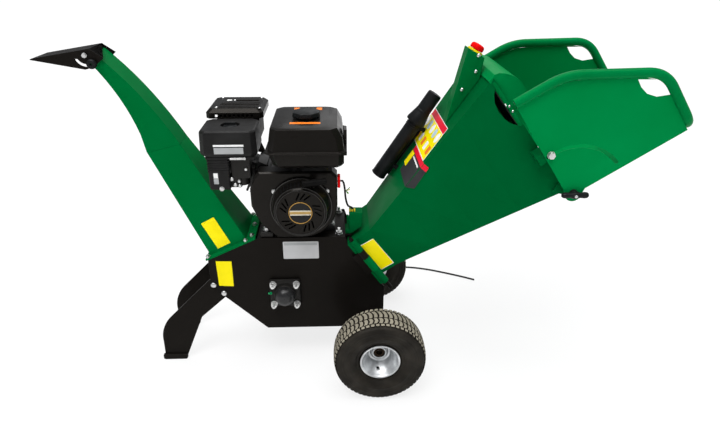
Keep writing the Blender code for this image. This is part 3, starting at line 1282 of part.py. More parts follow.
def make_intake(materials):
    """Air cleaner, carburettor and the two levers."""
    black = materials["engine"]
    x_pair = (CLEANER_LEFT, CLEANER_RIGHT)
    y_pair = (CLEANER_FRONT, CLEANER_BACK)
    low = CLEANER_LOW
    high = CLEANER_TOP

    def level(z, inset, corner):
        return soft_rectangle((x_pair[0] + inset, x_pair[1] - inset),
                              (y_pair[0] + inset, y_pair[1] - inset), corner, z)

    loops = [level(low, 0.004, 0.014), level(low + 0.008, 0.000, 0.014),
             level(high - 0.016, 0.002, 0.014), level(high, 0.016, 0.012)]
    cover = skin("air_cleaner_cover", loops, black)
    knob_x, knob_y = CLEANER_NUT_X, CLEANER_NUT_Y
    cut(cover, rod("nut recess", (knob_x, knob_y, high - 0.012), (knob_x, knob_y, high + 0.01),
                   0.026, black, 24))
    profile = [(0, high - 0.012 + GAP), (0.019, high - 0.012 + GAP), (0.019, high - 0.004),
               (0.015, high - 0.001), (0, high - 0.001)]
    knob = turned("air_cleaner_knob", profile, (knob_x, knob_y, 0), (0, 0, 1),
                  materials["plastic"], 20)
    fin = block("nut fin", (knob_x - 0.015, knob_x + 0.015), (knob_y - 0.003, knob_y + 0.003),
                (high - 0.004, high + 0.006), materials["plastic"])
    join(knob, fin)

    base = block("air_cleaner_base", (x_pair[0] + 0.012, x_pair[1] - 0.006),
                 (y_pair[0] + 0.010, y_pair[1] - 0.010), (low - 0.012, low - GAP), black)
    soften(base, 0.003)
    elbow = block("intake box", (-0.412, -0.354), (-0.107, -0.040), (0.598, low - 0.006), black)
    soften(elbow, 0.003)
    join(base, elbow)

    head_face = HEAD_MIDDLE - HEAD_HALF - GAP
    shroud_left = SHAFT_X - SHROUD_LEFT - 0.0008
    carb = block("carburettor", (-0.350, -0.298), (-0.094, -0.046), (0.628, low - 0.012 - GAP),
                 materials["cast"])
    join(carb, rod("float bowl", (-0.325, -0.069, 0.604), (-0.325, -0.069, 0.645), 0.021,
                   materials["cast"], 20))
    join(carb, block("intake pipe", (-0.306, shroud_left), (-0.058, head_face), (0.631, 0.645),
                     materials["cast"]))
    lever_face = CHOKE_FACE
    choke = block("choke_lever", (CHOKE_X - 0.065, CHOKE_X + 0.005),
                  (lever_face - 0.0045, lever_face - 0.0015), (CHOKE_Z - 0.003, CHOKE_Z + 0.003),
                  materials["zinc"])
    join(choke, rod("choke pin", (CHOKE_X, lever_face, CHOKE_Z), (CHOKE_X, lever_face - 0.003, CHOKE_Z),
                    0.0045, materials["zinc"], 12))
    deck = SHAFT_Z + SHROUD_TOP + 0.0005
    throttle = block("throttle_lever", (THROTTLE_X - 0.003, THROTTLE_X + 0.003),
                     (THROTTLE_Y + 0.002, THROTTLE_Y + 0.052), (deck, deck + 0.004), materials["zinc"])
    join(throttle, rod("throttle tip", (THROTTLE_X, THROTTLE_Y, deck),
                       (THROTTLE_X, THROTTLE_Y, deck + 0.018), 0.007, materials["zinc"], 16))


def make_exhaust(materials):
    black = materials["engine"]
    low, top = GUARD_Z
    gauge = 0.0015
    body = block("muffler", MUFFLER_X, MUFFLER_Y, MUFFLER_Z, materials["cast"])
    soften(body, 0.010)
    reach = HEAD_REACH
    corner_x = SHAFT_X + reach * cos(CYLINDER_TILT) + HEAD_SPAN * sin(CYLINDER_TILT)
    corner_z = SHAFT_Z + reach * sin(CYLINDER_TILT) - HEAD_SPAN * cos(CYLINDER_TILT)
    pipe_y = MUFFLER_Y[0] + 0.021
    join(body, rod("exhaust pipe", (corner_x, pipe_y, corner_z + GAP),
                   (corner_x, pipe_y, MUFFLER_Z[0] + 0.010), 0.012, materials["cast"], 16))
    post_y = MUFFLER_Y[0] + 0.066
    for x in (MUFFLER_X[0] + 0.029, MUFFLER_X[1] - 0.034):
        join(body, rod(f"guard post {x:.3f}", (x, post_y, MUFFLER_Z[1] - 0.006),
                       (x, post_y, top - gauge - GAP), 0.006, materials["cast"], 12))
    x_pair = GUARD_X
    y_pair = GUARD_Y
    loops = [soft_rectangle(x_pair, y_pair, 0.010, low), soft_rectangle(x_pair, y_pair, 0.010, top - 0.010)]
    loops.append(soft_rectangle((x_pair[0] + 0.010, x_pair[1] - 0.010),
                                (y_pair[0] + 0.010, y_pair[1] - 0.010), 0.010, top))
    guard = skin("muffler_guard", loops, black)
    inner = [soft_rectangle((x_pair[0] + gauge, x_pair[1] - gauge), (y_pair[0] + gauge, y_pair[1] - gauge),
                            0.010, low - 0.01)]
    inner.append(soft_rectangle((x_pair[0] + gauge, x_pair[1] - gauge),
                                (y_pair[0] + gauge, y_pair[1] - gauge), 0.010, top - 0.011))
    inner.append(soft_rectangle((x_pair[0] + 0.011, x_pair[1] - 0.011),
                                (y_pair[0] + 0.011, y_pair[1] - 0.011), 0.010, top - gauge))
    cut(guard, skin("guard hollow", inner, black))
    holes = 9
    for number in range(holes):
        x = x_pair[0] + 0.030 + number * 0.0125
        cut(guard, block(f"guard hole {number}", (x - 0.0035, x + 0.0035),
                         (y_pair[0] - 0.01, y_pair[0] + 0.01), (top - 0.022, top - 0.015), black))


def make_switches(materials):
    """Stop switch on the shroud and the lead from it to the interlock box."""
    edge = SHAFT_X + SHROUD_RADIUS
    switch_low = SHAFT_Z + 0.050
    switch = block("engine_switch", (edge + GAP, edge + 0.009), (SWITCH_Y - 0.010, SWITCH_Y + 0.010),
                   (switch_low, SHAFT_Z + 0.088), materials["red"])
    soften(switch, 0.002)
    out = edge + 0.009 + GAP
    middle_z = SHAFT_Z + SWITCH_RISE
    route = [(out, SWITCH_Y, middle_z), (out + 0.006, SWITCH_Y, middle_z),
             (out + 0.011, -0.078, middle_z - 0.018), (out + 0.015, -0.067, SHAFT_Z + 0.005),
             (out + 0.022, -0.058, SWITCH_BOX_TOP + 0.021), (-0.012, -0.051, SWITCH_BOX_TOP + 0.012),
             (-0.0105, -0.050, SWITCH_BOX_TOP + 0.005), (-0.0105, -0.050, SWITCH_BOX_TOP + GAP)]
    tube("stop_lead", smooth_route(route, 0.009), 0.003, materials["cable"], 2)


# Loose lead on the ground behind the machine

LEAD_RADIUS = 0.0035
LEAD_REST = LEAD_RADIUS + 0.0005
GLAND_LENGTH = 0.0078
LEAD_START_Y = BODY_HALF + GAP + GLAND_LENGTH + GAP
LEAD_ROUTE = [
    (-0.100, LEAD_START_Y, 0.175), (-0.100, 0.118, 0.175), (-0.104, 0.162, 0.135),
    (-0.104, 0.200, 0.045), (-0.085, 0.262, 0.009), (-0.030, 0.335, LEAD_REST),
    (0.060, 0.402, LEAD_REST), (0.150, 0.440, LEAD_REST), (0.224, 0.447, LEAD_REST),
    (0.300, 0.430, LEAD_REST), (0.370, 0.401, LEAD_REST), (0.440, 0.367, LEAD_REST),
    (0.487, 0.341, LEAD_REST),
]


def smooth_route(points, spacing):
    """Points along a smooth curve through the route, about one spacing apart."""
    points = [Vector(point) for point in points]
    spans = [(after - before).length for before, after in zip(points, points[1:])]
    headings = [(points[1] - points[0]) / spans[0]]
    for index in range(1, len(points) - 1):
        chord = points[index + 1] - points[index - 1]
        headings.append(chord / (spans[index - 1] + spans[index]))
    headings.append((points[-1] - points[-2]) / spans[-1])
    path = []
    for index, span in enumerate(spans):
        steps = max(1, round(span / spacing))
        for step in range(steps):
            t = step / steps
            path.append(points[index] * (2 * t ** 3 - 3 * t ** 2 + 1)
                        + headings[index] * span * (t ** 3 - 2 * t ** 2 + t)
                        + points[index + 1] * (3 * t ** 2 - 2 * t ** 3)
                        + headings[index + 1] * span * (t ** 3 - t ** 2))
    path.append(points[-1])
    return path


def make_loose_lead(materials):
    gland = [(0, 0), (0.009, 0), (0.009, 0.005), (0.006, GLAND_LENGTH), (0, GLAND_LENGTH)]
    turned("lead_gland", gland, (LEAD_ROUTE[0][0], BODY_HALF + GAP, LEAD_ROUTE[0][2]), (0, 1, 0),
           materials["plastic"], 18)
    tube("loose_lead", smooth_route(LEAD_ROUTE, 0.020), LEAD_RADIUS, materials["cable"], 2)


# Assembly

def hang(marker_name, place, pieces, carrier=None):
    """An empty on a joint's axis; the pieces that move with the joint are its children."""
    marker = bpy.data.objects.new(marker_name, None)
    marker.empty_display_size = 0.03
    bpy.context.scene.collection.objects.link(marker)
    marker.location = place
    base = Vector((0, 0, 0))
    if carrier:
        marker.parent = carrier
        base = Vector(carrier["place"])
        marker.location = Vector(place) - base
    marker["place"] = list(place)
    for name in pieces:
        piece = bpy.data.objects[name]
        piece.parent = marker
        piece.matrix_parent_inverse = Matrix.Translation(Vector(place)).inverted()
    return marker


def hang_moving_pieces():
    """Every joint of the machine: its axis, and the pieces it carries."""
    hang("rotor_axis", (ROTOR_X, 0, ROTOR_Z), ("rotor_drum", "knife_a", "knife_b", "rotor_pulley"))
    hang("crank_axis", (SHAFT_X, 0, SHAFT_Z), ("crankshaft", "drive_pulley"))
    for label, side in (("near", -1), ("far", 1)):
        hang(f"wheel_axis_{label}", (AXLE_X, side * WHEEL_Y, TYRE_RADIUS),
             (f"rim_{label}", f"tyre_{label}"))

    pin = feed(HINGE_AT, (HINGE_LOW + HINGE_HIGH) / 2)
    hopper = hang("hopper_axis", (pin[0], HINGE_Y, pin[1]),
                  ("hopper_funnel", "hopper_cowl", "estop_box", "manual_tube"))
    crown = Vector(top_point(STOP_BOX_CROWN_AT, STOP_BOX_CROWN_LIFT))
    button = crown.lerp(Vector(top_point(STOP_BOX_BROW_AT, STOP_BOX_BROW_LIFT)), 0.5)
    hang("stop_button_axis", (button.x, STOP_BOX_Y, button.y), ("estop_button",), hopper)
    cap = top_point(TUBE_CAP_AT, TUBE_LIFT)
    hang("tube_cap_axis", (cap[0], TUBE_Y, cap[1]), ("tube_cap",), hopper)
    hang("tray_axis", (TRAY_PIVOT_X, 0, TRAY_PIVOT_Z), ("tray_shell", "tray_tube"), hopper)
    for label, side in (("near", -1), ("far", 1)):
        hang(f"tray_knob_axis_{label}", (TRAY_PIVOT_X, side * (TRAY_HALF + 0.012), TRAY_PIVOT_Z),
             (f"tray_knob_{label}",), hopper)

    hang("deflector_axis", (DEFLECTOR_PIVOT_X, 0, DEFLECTOR_PIVOT_Z), ("deflector",))
    knob = deflector_knob_point()
    hang("deflector_knob_axis", (knob[0], -DEFLECTOR_HALF, knob[1]), ("deflector_knob",))
    hang("fuel_cap_axis", (FUEL_CAP_X, FUEL_CAP_Y, TANK_LOW + TANK_HEIGHT), ("fuel_cap",))
    hang("cleaner_nut_axis", (CLEANER_NUT_X, CLEANER_NUT_Y, CLEANER_TOP), ("air_cleaner_knob",))
    hang("choke_axis", (CHOKE_X, CHOKE_FACE, CHOKE_Z), ("choke_lever",))
    hang("throttle_axis", (THROTTLE_X, THROTTLE_Y, SHAFT_Z + SHROUD_TOP), ("throttle_lever",))
    hang("engine_switch_axis", (SHAFT_X + SHROUD_RADIUS, SWITCH_Y, SHAFT_Z + SWITCH_RISE),
         ("engine_switch",))
    hang("starter_axis", tuple(rope_guide_end()), ("recoil_handle",))


def build():
    for leftover in list(bpy.data.objects):
        bpy.data.objects.remove(leftover, do_unlink=True)
    materials = make_materials()
    make_housing(materials)
    for label, side in (("leg_near", -1), ("leg_far", 1)):
        make_leg(label, side, materials["black"])
    make_bearing("bearing_near", -1, True, materials["black"])
    make_bearing("bearing_far", 1, False, materials["black"])
    make_running_gear(materials)
    make_rotor(materials)
    make_drive(materials)
    make_chute(materials)
    make_hopper(materials)
    make_tray(materials)
    make_engine_block(materials)
    make_crank(materials)
    make_blower(materials)
    make_tank(materials)
    make_intake(materials)
    make_exhaust(materials)
    make_switches(materials)
    make_loose_lead(materials)
    hang_moving_pieces()


build()
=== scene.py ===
# Garden shredder: a small petrol engine drives a rotor between two black plates; wood goes in
# through the green hopper on the right and leaves through the curved green chute on the left.
# Metres, +Z up, +X to the feed tray, -Y towards the starter side of the engine.

import json
from math import cos, pi, radians, sin

import bmesh
import bpy
from mathutils import Matrix, Vector

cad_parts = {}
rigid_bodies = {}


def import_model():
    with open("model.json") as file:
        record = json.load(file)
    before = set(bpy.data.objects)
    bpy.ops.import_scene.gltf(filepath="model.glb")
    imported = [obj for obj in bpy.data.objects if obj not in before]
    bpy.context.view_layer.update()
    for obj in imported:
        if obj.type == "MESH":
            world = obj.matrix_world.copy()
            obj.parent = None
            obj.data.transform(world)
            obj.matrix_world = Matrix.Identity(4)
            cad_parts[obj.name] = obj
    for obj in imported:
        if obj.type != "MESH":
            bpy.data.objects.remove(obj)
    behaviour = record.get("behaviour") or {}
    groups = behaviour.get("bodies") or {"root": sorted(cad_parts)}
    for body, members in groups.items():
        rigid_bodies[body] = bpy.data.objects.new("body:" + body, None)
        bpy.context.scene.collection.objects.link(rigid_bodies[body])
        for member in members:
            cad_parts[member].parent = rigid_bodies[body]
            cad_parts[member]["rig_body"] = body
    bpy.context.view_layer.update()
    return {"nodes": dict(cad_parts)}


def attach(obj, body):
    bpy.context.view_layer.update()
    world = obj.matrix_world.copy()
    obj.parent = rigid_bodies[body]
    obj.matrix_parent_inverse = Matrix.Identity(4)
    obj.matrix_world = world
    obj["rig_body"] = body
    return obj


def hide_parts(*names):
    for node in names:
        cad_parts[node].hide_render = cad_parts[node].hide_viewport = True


for leftover in list(bpy.data.objects):
    bpy.data.objects.remove(leftover, do_unlink=True)
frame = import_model()


# Camera
# It stands a little above the engine, in front of the starter side, and looks slightly down.
# The lens and the place were worked out from the straight edges of the machine.

CAMERA_PLACE = Vector((-0.048, -1.601, 1.232))
CAMERA_DOWN = radians(25.58)
CAMERA_YAW = radians(2.21)
CAMERA_ROLL = radians(0.16)


def placed(name, data):
    """A new object for the data, linked to the scene."""
    piece = bpy.data.objects.new(name, data)
    bpy.context.scene.collection.objects.link(piece)
    return piece


camera_data = bpy.data.cameras.new("camera")
camera_data.sensor_width = 36.0
camera_data.lens = 28.58
camera_data.clip_start = 0.05
camera_data.clip_end = 100.0
camera = placed("camera", camera_data)
ahead = Vector((sin(CAMERA_YAW) * cos(CAMERA_DOWN), cos(CAMERA_YAW) * cos(CAMERA_DOWN), -sin(CAMERA_DOWN)))
right = Vector((cos(CAMERA_YAW), -sin(CAMERA_YAW), 0.0))
up = right.cross(ahead)
turned_right = right * cos(CAMERA_ROLL) + up * sin(CAMERA_ROLL)
turned_up = up * cos(CAMERA_ROLL) - right * sin(CAMERA_ROLL)
camera.matrix_world = Matrix((
    (turned_right.x, turned_up.x, -ahead.x, CAMERA_PLACE.x),
    (turned_right.y, turned_up.y, -ahead.y, CAMERA_PLACE.y),
    (turned_right.z, turned_up.z, -ahead.z, CAMERA_PLACE.z),
    (0.0, 0.0, 0.0, 1.0),
))
bpy.context.scene.camera = camera


# Loose lead
# A thin black lead leaves a gland in the far plate, drops to the floor behind the far wheel and
# runs out to the right in one slow curve. It is a plain rubber cable with a bare end.

LEAD_RADIUS = 0.0035
LEAD_REST = 0.004
LEAD_ROUTE = [
    (-0.100, 0.1064, 0.175), (-0.100, 0.118, 0.175), (-0.104, 0.162, 0.135),
    (-0.104, 0.200, 0.045), (-0.085, 0.262, 0.009), (-0.030, 0.335, LEAD_REST),
    (0.060, 0.402, LEAD_REST), (0.150, 0.440, LEAD_REST), (0.224, 0.447, LEAD_REST),
    (0.300, 0.430, LEAD_REST), (0.370, 0.401, LEAD_REST), (0.440, 0.367, LEAD_REST),
    (0.487, 0.341, LEAD_REST),
]


def add_node(tree, kind, inputs=None, **settings):
    """A node with its settings; each named input holds a value or is fed by another socket."""
    node = tree.nodes.new(kind)
    for setting, value in settings.items():
        setattr(node, setting, value)
    for label, value in (inputs or {}).items():
        if isinstance(value, bpy.types.NodeSocket):
            tree.links.new(value, node.inputs[label])
        else:
            node.inputs[label].default_value = value
    return node


def new_material(name, colour, roughness, metallic=0.0, coat=0.0):
    """A Principled material, returned with its node tree and shader."""
    material = bpy.data.materials.new(name)
    material.use_nodes = True
    shader = material.node_tree.nodes["Principled BSDF"]
    shader.inputs["Base Color"].default_value = (*colour, 1.0)
    shader.inputs["Roughness"].default_value = roughness
    shader.inputs["Metallic"].default_value = metallic
    shader.inputs["Coat Weight"].default_value = coat
    return material, material.node_tree, shader


def surface_noise(tree, scale, detail=2.0, stretch=None):
    """A noise pattern on the piece's own coordinates."""
    place = add_node(tree, "ShaderNodeTexCoord").outputs["Object"]
    if stretch:
        place = add_node(tree, "ShaderNodeMapping", {"Vector": place, "Scale": stretch}).outputs["Vector"]
    noise = add_node(tree, "ShaderNodeTexNoise", {"Vector": place, "Scale": scale, "Detail": detail})
    return noise.outputs["Fac"]


def vary_colour(tree, shader, pattern, stops):
    """The base colour follows a pattern through a ramp of two (position, colour) stops."""
    ramp = add_node(tree, "ShaderNodeValToRGB", {"Fac": pattern})
    for element, (position, colour) in zip(ramp.color_ramp.elements, stops):
        element.position = position
        element.color = (*colour, 1.0)
    tree.links.new(ramp.outputs["Color"], shader.inputs["Base Color"])


def vary_roughness(tree, shader, pattern, low, high):
    """The roughness follows a pattern between two levels."""
    levels = {"Value": pattern, "From Min": 0.3, "From Max": 0.7, "To Min": low, "To Max": high}
    spread = add_node(tree, "ShaderNodeMapRange", levels)
    tree.links.new(spread.outputs["Result"], shader.inputs["Roughness"])


def add_bump(tree, shader, pattern, strength, depth):
    """The surface rises and falls with a pattern."""
    bump = add_node(tree, "ShaderNodeBump", {"Height": pattern, "Strength": strength, "Distance": depth})
    tree.links.new(bump.outputs["Normal"], shader.inputs["Normal"])


def moulded(name, colour, roughness, grain, depth, lighter=1.35, shine=0.18):
    """Rubber or plastic from a mould: a fine grain and a slightly uneven tone."""
    material, tree, shader = new_material(name, colour, roughness)
    shader.inputs["Specular IOR Level"].default_value = shine
    pale = tuple(min(1.0, part * lighter + 0.002) for part in colour)
    vary_colour(tree, shader, surface_noise(tree, 22.0), [(0.35, colour), (0.7, pale)])
    vary_roughness(tree, shader, surface_noise(tree, 60.0), roughness - 0.05, roughness + 0.08)
    add_bump(tree, shader, surface_noise(tree, grain, 1.0), 0.25, depth)
    return material


def smooth_route(points, spacing):
    """Points along a smooth curve through the route, about one spacing apart."""
    points = [Vector(point) for point in points]
    spans = [(after - before).length for before, after in zip(points, points[1:])]
    headings = [(points[1] - points[0]) / spans[0]]
    for index in range(1, len(points) - 1):
        chord = points[index + 1] - points[index - 1]
        headings.append(chord / (spans[index - 1] + spans[index]))
    headings.append((points[-1] - points[-2]) / spans[-1])
    path = []
    for index, span in enumerate(spans):
        steps = max(1, round(span / spacing))
        for step in range(steps):
            t = step / steps
            path.append(points[index] * (2 * t ** 3 - 3 * t ** 2 + 1)
                        + headings[index] * span * (t ** 3 - 2 * t ** 2 + t)
                        + points[index + 1] * (3 * t ** 2 - 2 * t ** 3)
                        + headings[index + 1] * span * (t ** 3 - t ** 2))
    path.append(points[-1])
    return path


def pipe(name, path, radius, material, sides=4):
    """A round bar, tube or cable along a path, with closed ends, as a curve."""
    curve = bpy.data.curves.new(name, "CURVE")
    curve.dimensions = "3D"
    curve.bevel_depth = radius
    curve.bevel_resolution = sides
    curve.use_fill_caps = True
    line = curve.splines.new("POLY")
    line.points.add(len(path) - 1)
    for place, point in zip(line.points, path):
        place.co = (*point, 1.0)
    curve.materials.append(material)
    return placed(name, curve)


def set_on(piece, body="frame", slot=None, *nodes):
    """The piece rides on its body and stands for the given nodes; the slot is not used."""
    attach(piece, body)
    if nodes:
        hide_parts(*nodes)
    return piece


cable_sheath = moulded("cable_sheath", (0.012, 0.012, 0.012), 0.5, 1500.0, 0.0001)
lead_path = smooth_route(LEAD_ROUTE, 0.010)
lead = pipe("thin_lead", lead_path, LEAD_RADIUS, cable_sheath, 3)
set_on(lead, "frame", "cable_sheath", "loose_lead")


# Housing and stand
# Two laser-cut steel plates 5 mm thick, with bent sheets welded between them, painted in a
# satin black powder coat. The legs are plates of the same kind, bolted on with domed bolts.

def powder_coat(name, colour, shade, roughness, coat=0.0, shine=0.3):
    """Baked powder paint: faint orange peel, a slow drift of tone and a little dust."""
    material, tree, shader = new_material(name, colour, roughness, 0.0, coat)
    shader.inputs["Coat Roughness"].default_value = 0.12
    shader.inputs["Specular IOR Level"].default_value = shine
    tint = [min(1.0, part / max(colour) + 0.02) for part in colour]
    shader.inputs["Specular Tint"].default_value = (*tint, 1.0)
    vary_colour(tree, shader, surface_noise(tree, 5.0, 3.0), [(0.3, colour), (0.75, shade)])
    vary_roughness(tree, shader, surface_noise(tree, 14.0, 3.0), roughness - 0.05, roughness + 0.07)
    add_bump(tree, shader, surface_noise(tree, 420.0, 1.0), 0.06, 0.0002)
    return material


def plated(name, colour, roughness, scratch=0.00004):
    """Zinc-plated or bare bright steel, with fine scratches and a cloudy tone."""
    material, tree, shader = new_material(name, colour, roughness, 1.0)
    dull = tuple(part * 0.72 for part in colour)
    vary_colour(tree, shader, surface_noise(tree, 45.0, 3.0), [(0.35, dull), (0.6, colour)])
    vary_roughness(tree, shader, surface_noise(tree, 80.0, 2.0), roughness - 0.07, roughness + 0.12)
    add_bump(tree, shader, surface_noise(tree, 700.0, 2.0, (1.0, 8.0, 1.0)), 0.3, scratch)
    return material


def printed(name, colour, roughness=0.35):
    """A printed film sticker in one plain colour."""
    material, tree, shader = new_material(name, colour, roughness, 0.0, 0.05)
    shader.inputs["Specular IOR Level"].default_value = 0.08
    pale = tuple(min(1.0, part * 1.08 + 0.004) for part in colour)
    vary_colour(tree, shader, surface_noise(tree, 30.0, 2.0), [(0.3, colour), (0.8, pale)])
    return material


def clean_copy(node):
    """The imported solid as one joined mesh, its flat faces whole again."""
    work = bmesh.new()
    work.from_mesh(frame["nodes"][node].data)
    bmesh.ops.remove_doubles(work, verts=work.verts, dist=3e-6)
    bmesh.ops.dissolve_limit(work, angle_limit=radians(0.4), verts=work.verts, edges=work.edges)
    mesh = bpy.data.meshes.new(node + "_finished")
    work.to_mesh(mesh)
    work.free()
    return mesh


def shade(mesh, angle=32.0):
    """Smooth faces that stay sharp where they meet at more than the angle."""
    mesh.shade_smooth()
    mesh.set_sharp_from_angle(angle=radians(angle))


def break_edges(piece, width, segments=2, angle=32.0):
    """A small bevel on the sharp edges, with its shading kept flat."""
    bevel = piece.modifiers.new("broken edges", "BEVEL")
    bevel.width = width
    bevel.segments = segments
    bevel.limit_method = "ANGLE"
    bevel.angle_limit = radians(angle)
    bevel.harden_normals = True


def finish_node(node, material, slot, edge=0.0006, segments=2, angle=32.0, shape=None):
    """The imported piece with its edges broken, as paint or plating leaves them."""
    mesh = clean_copy(node)
    for vert in mesh.vertices if shape else ():
        vert.co = shape(vert.co)
    mesh.materials.clear()
    mesh.materials.append(material)
    piece = placed(node + "_finished", mesh)
    shade(mesh, angle)
    if edge:
        break_edges(piece, edge, segments, angle)
    return set_on(piece, frame["nodes"][node]["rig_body"], slot, node)


def closed_mesh(name, verts, faces):
    """A mesh from points and faces, all faces turned outwards."""
    mesh = bpy.data.meshes.new(name)
    mesh.from_pydata([tuple(vert) for vert in verts], [], faces)
    work = bmesh.new()
    work.from_mesh(mesh)
    bmesh.ops.recalc_face_normals(work, faces=work.faces)
    work.to_mesh(mesh)
    work.free()
    return mesh


def new_piece(name, verts, faces, material, angle=32.0):
    """A piece of one material from points and faces."""
    mesh = closed_mesh(name, verts, faces)
    mesh.materials.append(material)
    shade(mesh, angle)
    return placed(name, mesh)


def settle(piece):
    """The modifiers of a piece made into its mesh."""
    depsgraph = bpy.context.evaluated_depsgraph_get()
    mesh = bpy.data.meshes.new_from_object(piece.evaluated_get(depsgraph))
    piece.modifiers.clear()
    if piece.type == "MESH":
        piece.data = mesh
        return piece
    name = piece.name
    fresh = placed(name + "_mesh", mesh)
    bpy.data.objects.remove(piece, do_unlink=True)
    fresh.name = name
    return fresh


def grow(seed, tree, values):
    """Runs a tree on a piece, its inputs set by identifier, and keeps the result as a plain mesh."""
    modifier = seed.modifiers.new("repeat", "NODES")
    modifier.node_group = tree
    for socket in tree.interface.items_tree:
        if socket.item_type == "SOCKET" and socket.in_out == "INPUT" and socket.name in values:
            modifier[socket.identifier] = values[socket.name]
    return settle(seed)


def fasten(name, tree, body, places, aim, values):
    """One fastener of the tree on each place, all along one aim or each along its own."""
    mesh = bpy.data.meshes.new(name + "_places")
    mesh.from_pydata([tuple(place) for place in places], [], [])
    aims = [aim] * len(places) if isinstance(aim[0], (int, float)) else aim
    for item, direction in zip(mesh.attributes.new("aim", "FLOAT_VECTOR", "POINT").data, aims):
        item.vector = Vector(direction)
    piece = grow(placed(name, mesh), tree, {**values, "Finish": zinc_plate})
    shade(piece.data)
    if "aim" in piece.data.attributes:
        piece.data.attributes.remove(piece.data.attributes["aim"])
    return set_on(piece, body, "zinc")


zinc_plate = plated("zinc_plate", (0.78, 0.78, 0.77), 0.30)
body_black = powder_coat("body_black", (0.0056, 0.0048, 0.0041), (0.0082, 0.0071, 0.0061), 0.42, 0.03, 0.05)


def new_tree(name, inputs, result):
    """A geometry tree with named inputs and one output, returned with its input sockets."""
    tree = bpy.data.node_groups.new(name, "GeometryNodeTree")
    for label, kind in inputs.items():
        tree.interface.new_socket(label, in_out="INPUT", socket_type="NodeSocket" + kind)
    tree.interface.new_socket(result, in_out="OUTPUT", socket_type="NodeSocketGeometry")
    return tree, tree.nodes.new("NodeGroupInput").outputs


def end_on_places(tree, given, shape):
    """The tree's shape stands on every place, faces along its aim, and takes the finish."""
    aim = add_node(tree, "GeometryNodeInputNamedAttribute", {"Name": "aim"}, data_type="FLOAT_VECTOR")
    turned = add_node(tree, "FunctionNodeAlignRotationToVector", {"Vector": aim.outputs["Attribute"]}, axis="Z")
    copies = add_node(tree, "GeometryNodeInstanceOnPoints", {
        "Points": given["Places"], "Instance": shape, "Rotation": turned.outputs["Rotation"]})
    real = add_node(tree, "GeometryNodeRealizeInstances", {"Geometry": copies.outputs["Instances"]})
    paint = add_node(tree, "GeometryNodeSetMaterial", {
        "Geometry": real.outputs["Geometry"], "Material": given["Finish"]})
    add_node(tree, "NodeGroupOutput", {"Fasteners": paint.outputs["Geometry"]})
    return tree


def dome_tree():
    """Domed bolt heads, one on each point, facing along its aim."""
    tree, given = new_tree("domed_heads", {
        "Places": "Geometry", "Head Radius": "Float", "Head Height": "Float", "Rim Height": "Float",
        "Finish": "Material"}, "Fasteners")
    ball = add_node(tree, "GeometryNodeMeshUVSphere", {"Segments": 20, "Rings": 10, "Radius": 1.0})
    size = add_node(tree, "ShaderNodeCombineXYZ", {
        "X": given["Head Radius"], "Y": given["Head Radius"], "Z": given["Head Height"]})
    rim = add_node(tree, "ShaderNodeCombineXYZ", {"Z": given["Rim Height"]})
    dome = add_node(tree, "GeometryNodeTransform", {
        "Geometry": ball.outputs["Mesh"], "Scale": size.outputs["Vector"], "Translation": rim.outputs["Vector"]})
    return end_on_places(tree, given, dome.outputs["Geometry"])


domes = dome_tree()


def domed_heads(name, body, places, aim, radius, height):
    """Domed bolt heads with a low rim, on one body."""
    values = {"Head Radius": radius, "Head Height": height, "Rim Height": 0.0004}
    return fasten(name, domes, body, places, aim, values)


def plate_faces(count):
    """The faces of a plate between two outlines of so many points."""
    faces = [tuple(range(count)), tuple(range(count, 2 * count))]
    for first in range(count):
        after = (first + 1) % count
        faces.append((first, after, after + count, first + count))
    return faces


def sticker(name, corners, radius, lift, material, body="frame", slot=None):
    """A thin film on a flat face, from its four corners in order, with rounded corners."""
    first, second, third, fourth = (Vector(corner) for corner in corners)
    normal = (second - first).cross(fourth - first).normalized()
    wide = ((second - first).length + (third - fourth).length) / 2
    tall = ((fourth - first).length + (third - second).length) / 2
    outline = []
    for centre_u, centre_v, start in ((radius, radius, pi), (wide - radius, radius, 1.5 * pi),
                                      (wide - radius, tall - radius, 0.0), (radius, tall - radius, 0.5 * pi)):
        for step in range(5):
            angle = start + step * pi / 8
            u = (centre_u + radius * cos(angle)) / wide
            v = (centre_v + radius * sin(angle)) / tall
            outline.append(first.lerp(second, u).lerp(fourth.lerp(third, u), v))
    verts = [point + normal * height for height in (0.00005, lift) for point in outline]
    return set_on(new_piece(name, verts, plate_faces(len(outline)), material, 20.0), body, slot)


def front_film(name, x_pair, z_pair, face, material, radius=0.0008, thick=0.0003):
    """A film on a face of the frame that looks to the near side."""
    (left, end), (low, high) = x_pair, z_pair
    corners = [(left, face, low), (end, face, low), (end, face, high), (left, face, high)]
    return sticker(name, corners, radius, thick, material)


for node in ("side_plate_near", "side_plate_far", "housing_wrap", "rotor_cover", "top_deck", "inlet_frame"):
    finish_node(node, body_black, "black_coat", 0.0006)


def slab(name, x_pair, y_pair, z_pair, material, edge, slot=None):
    """A block of the frame, with broken edges, between two places on each axis."""
    (left, end), (near, far) = x_pair, y_pair
    verts = [(x, y, z) for z in z_pair for x, y in ((left, near), (end, near), (end, far), (left, far))]
    piece = new_piece(name, verts, plate_faces(4), material)
    break_edges(piece, edge)
    return set_on(piece, "frame", slot)


def drawn_foot(at):
    """The leg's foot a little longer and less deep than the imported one."""
    if at.z > 0.0060:
        return at
    return Vector((at.x + (-0.0070 if at.x < -0.5900 else 0.0030), max(-0.1010, min(0.1010, at.y)), at.z))


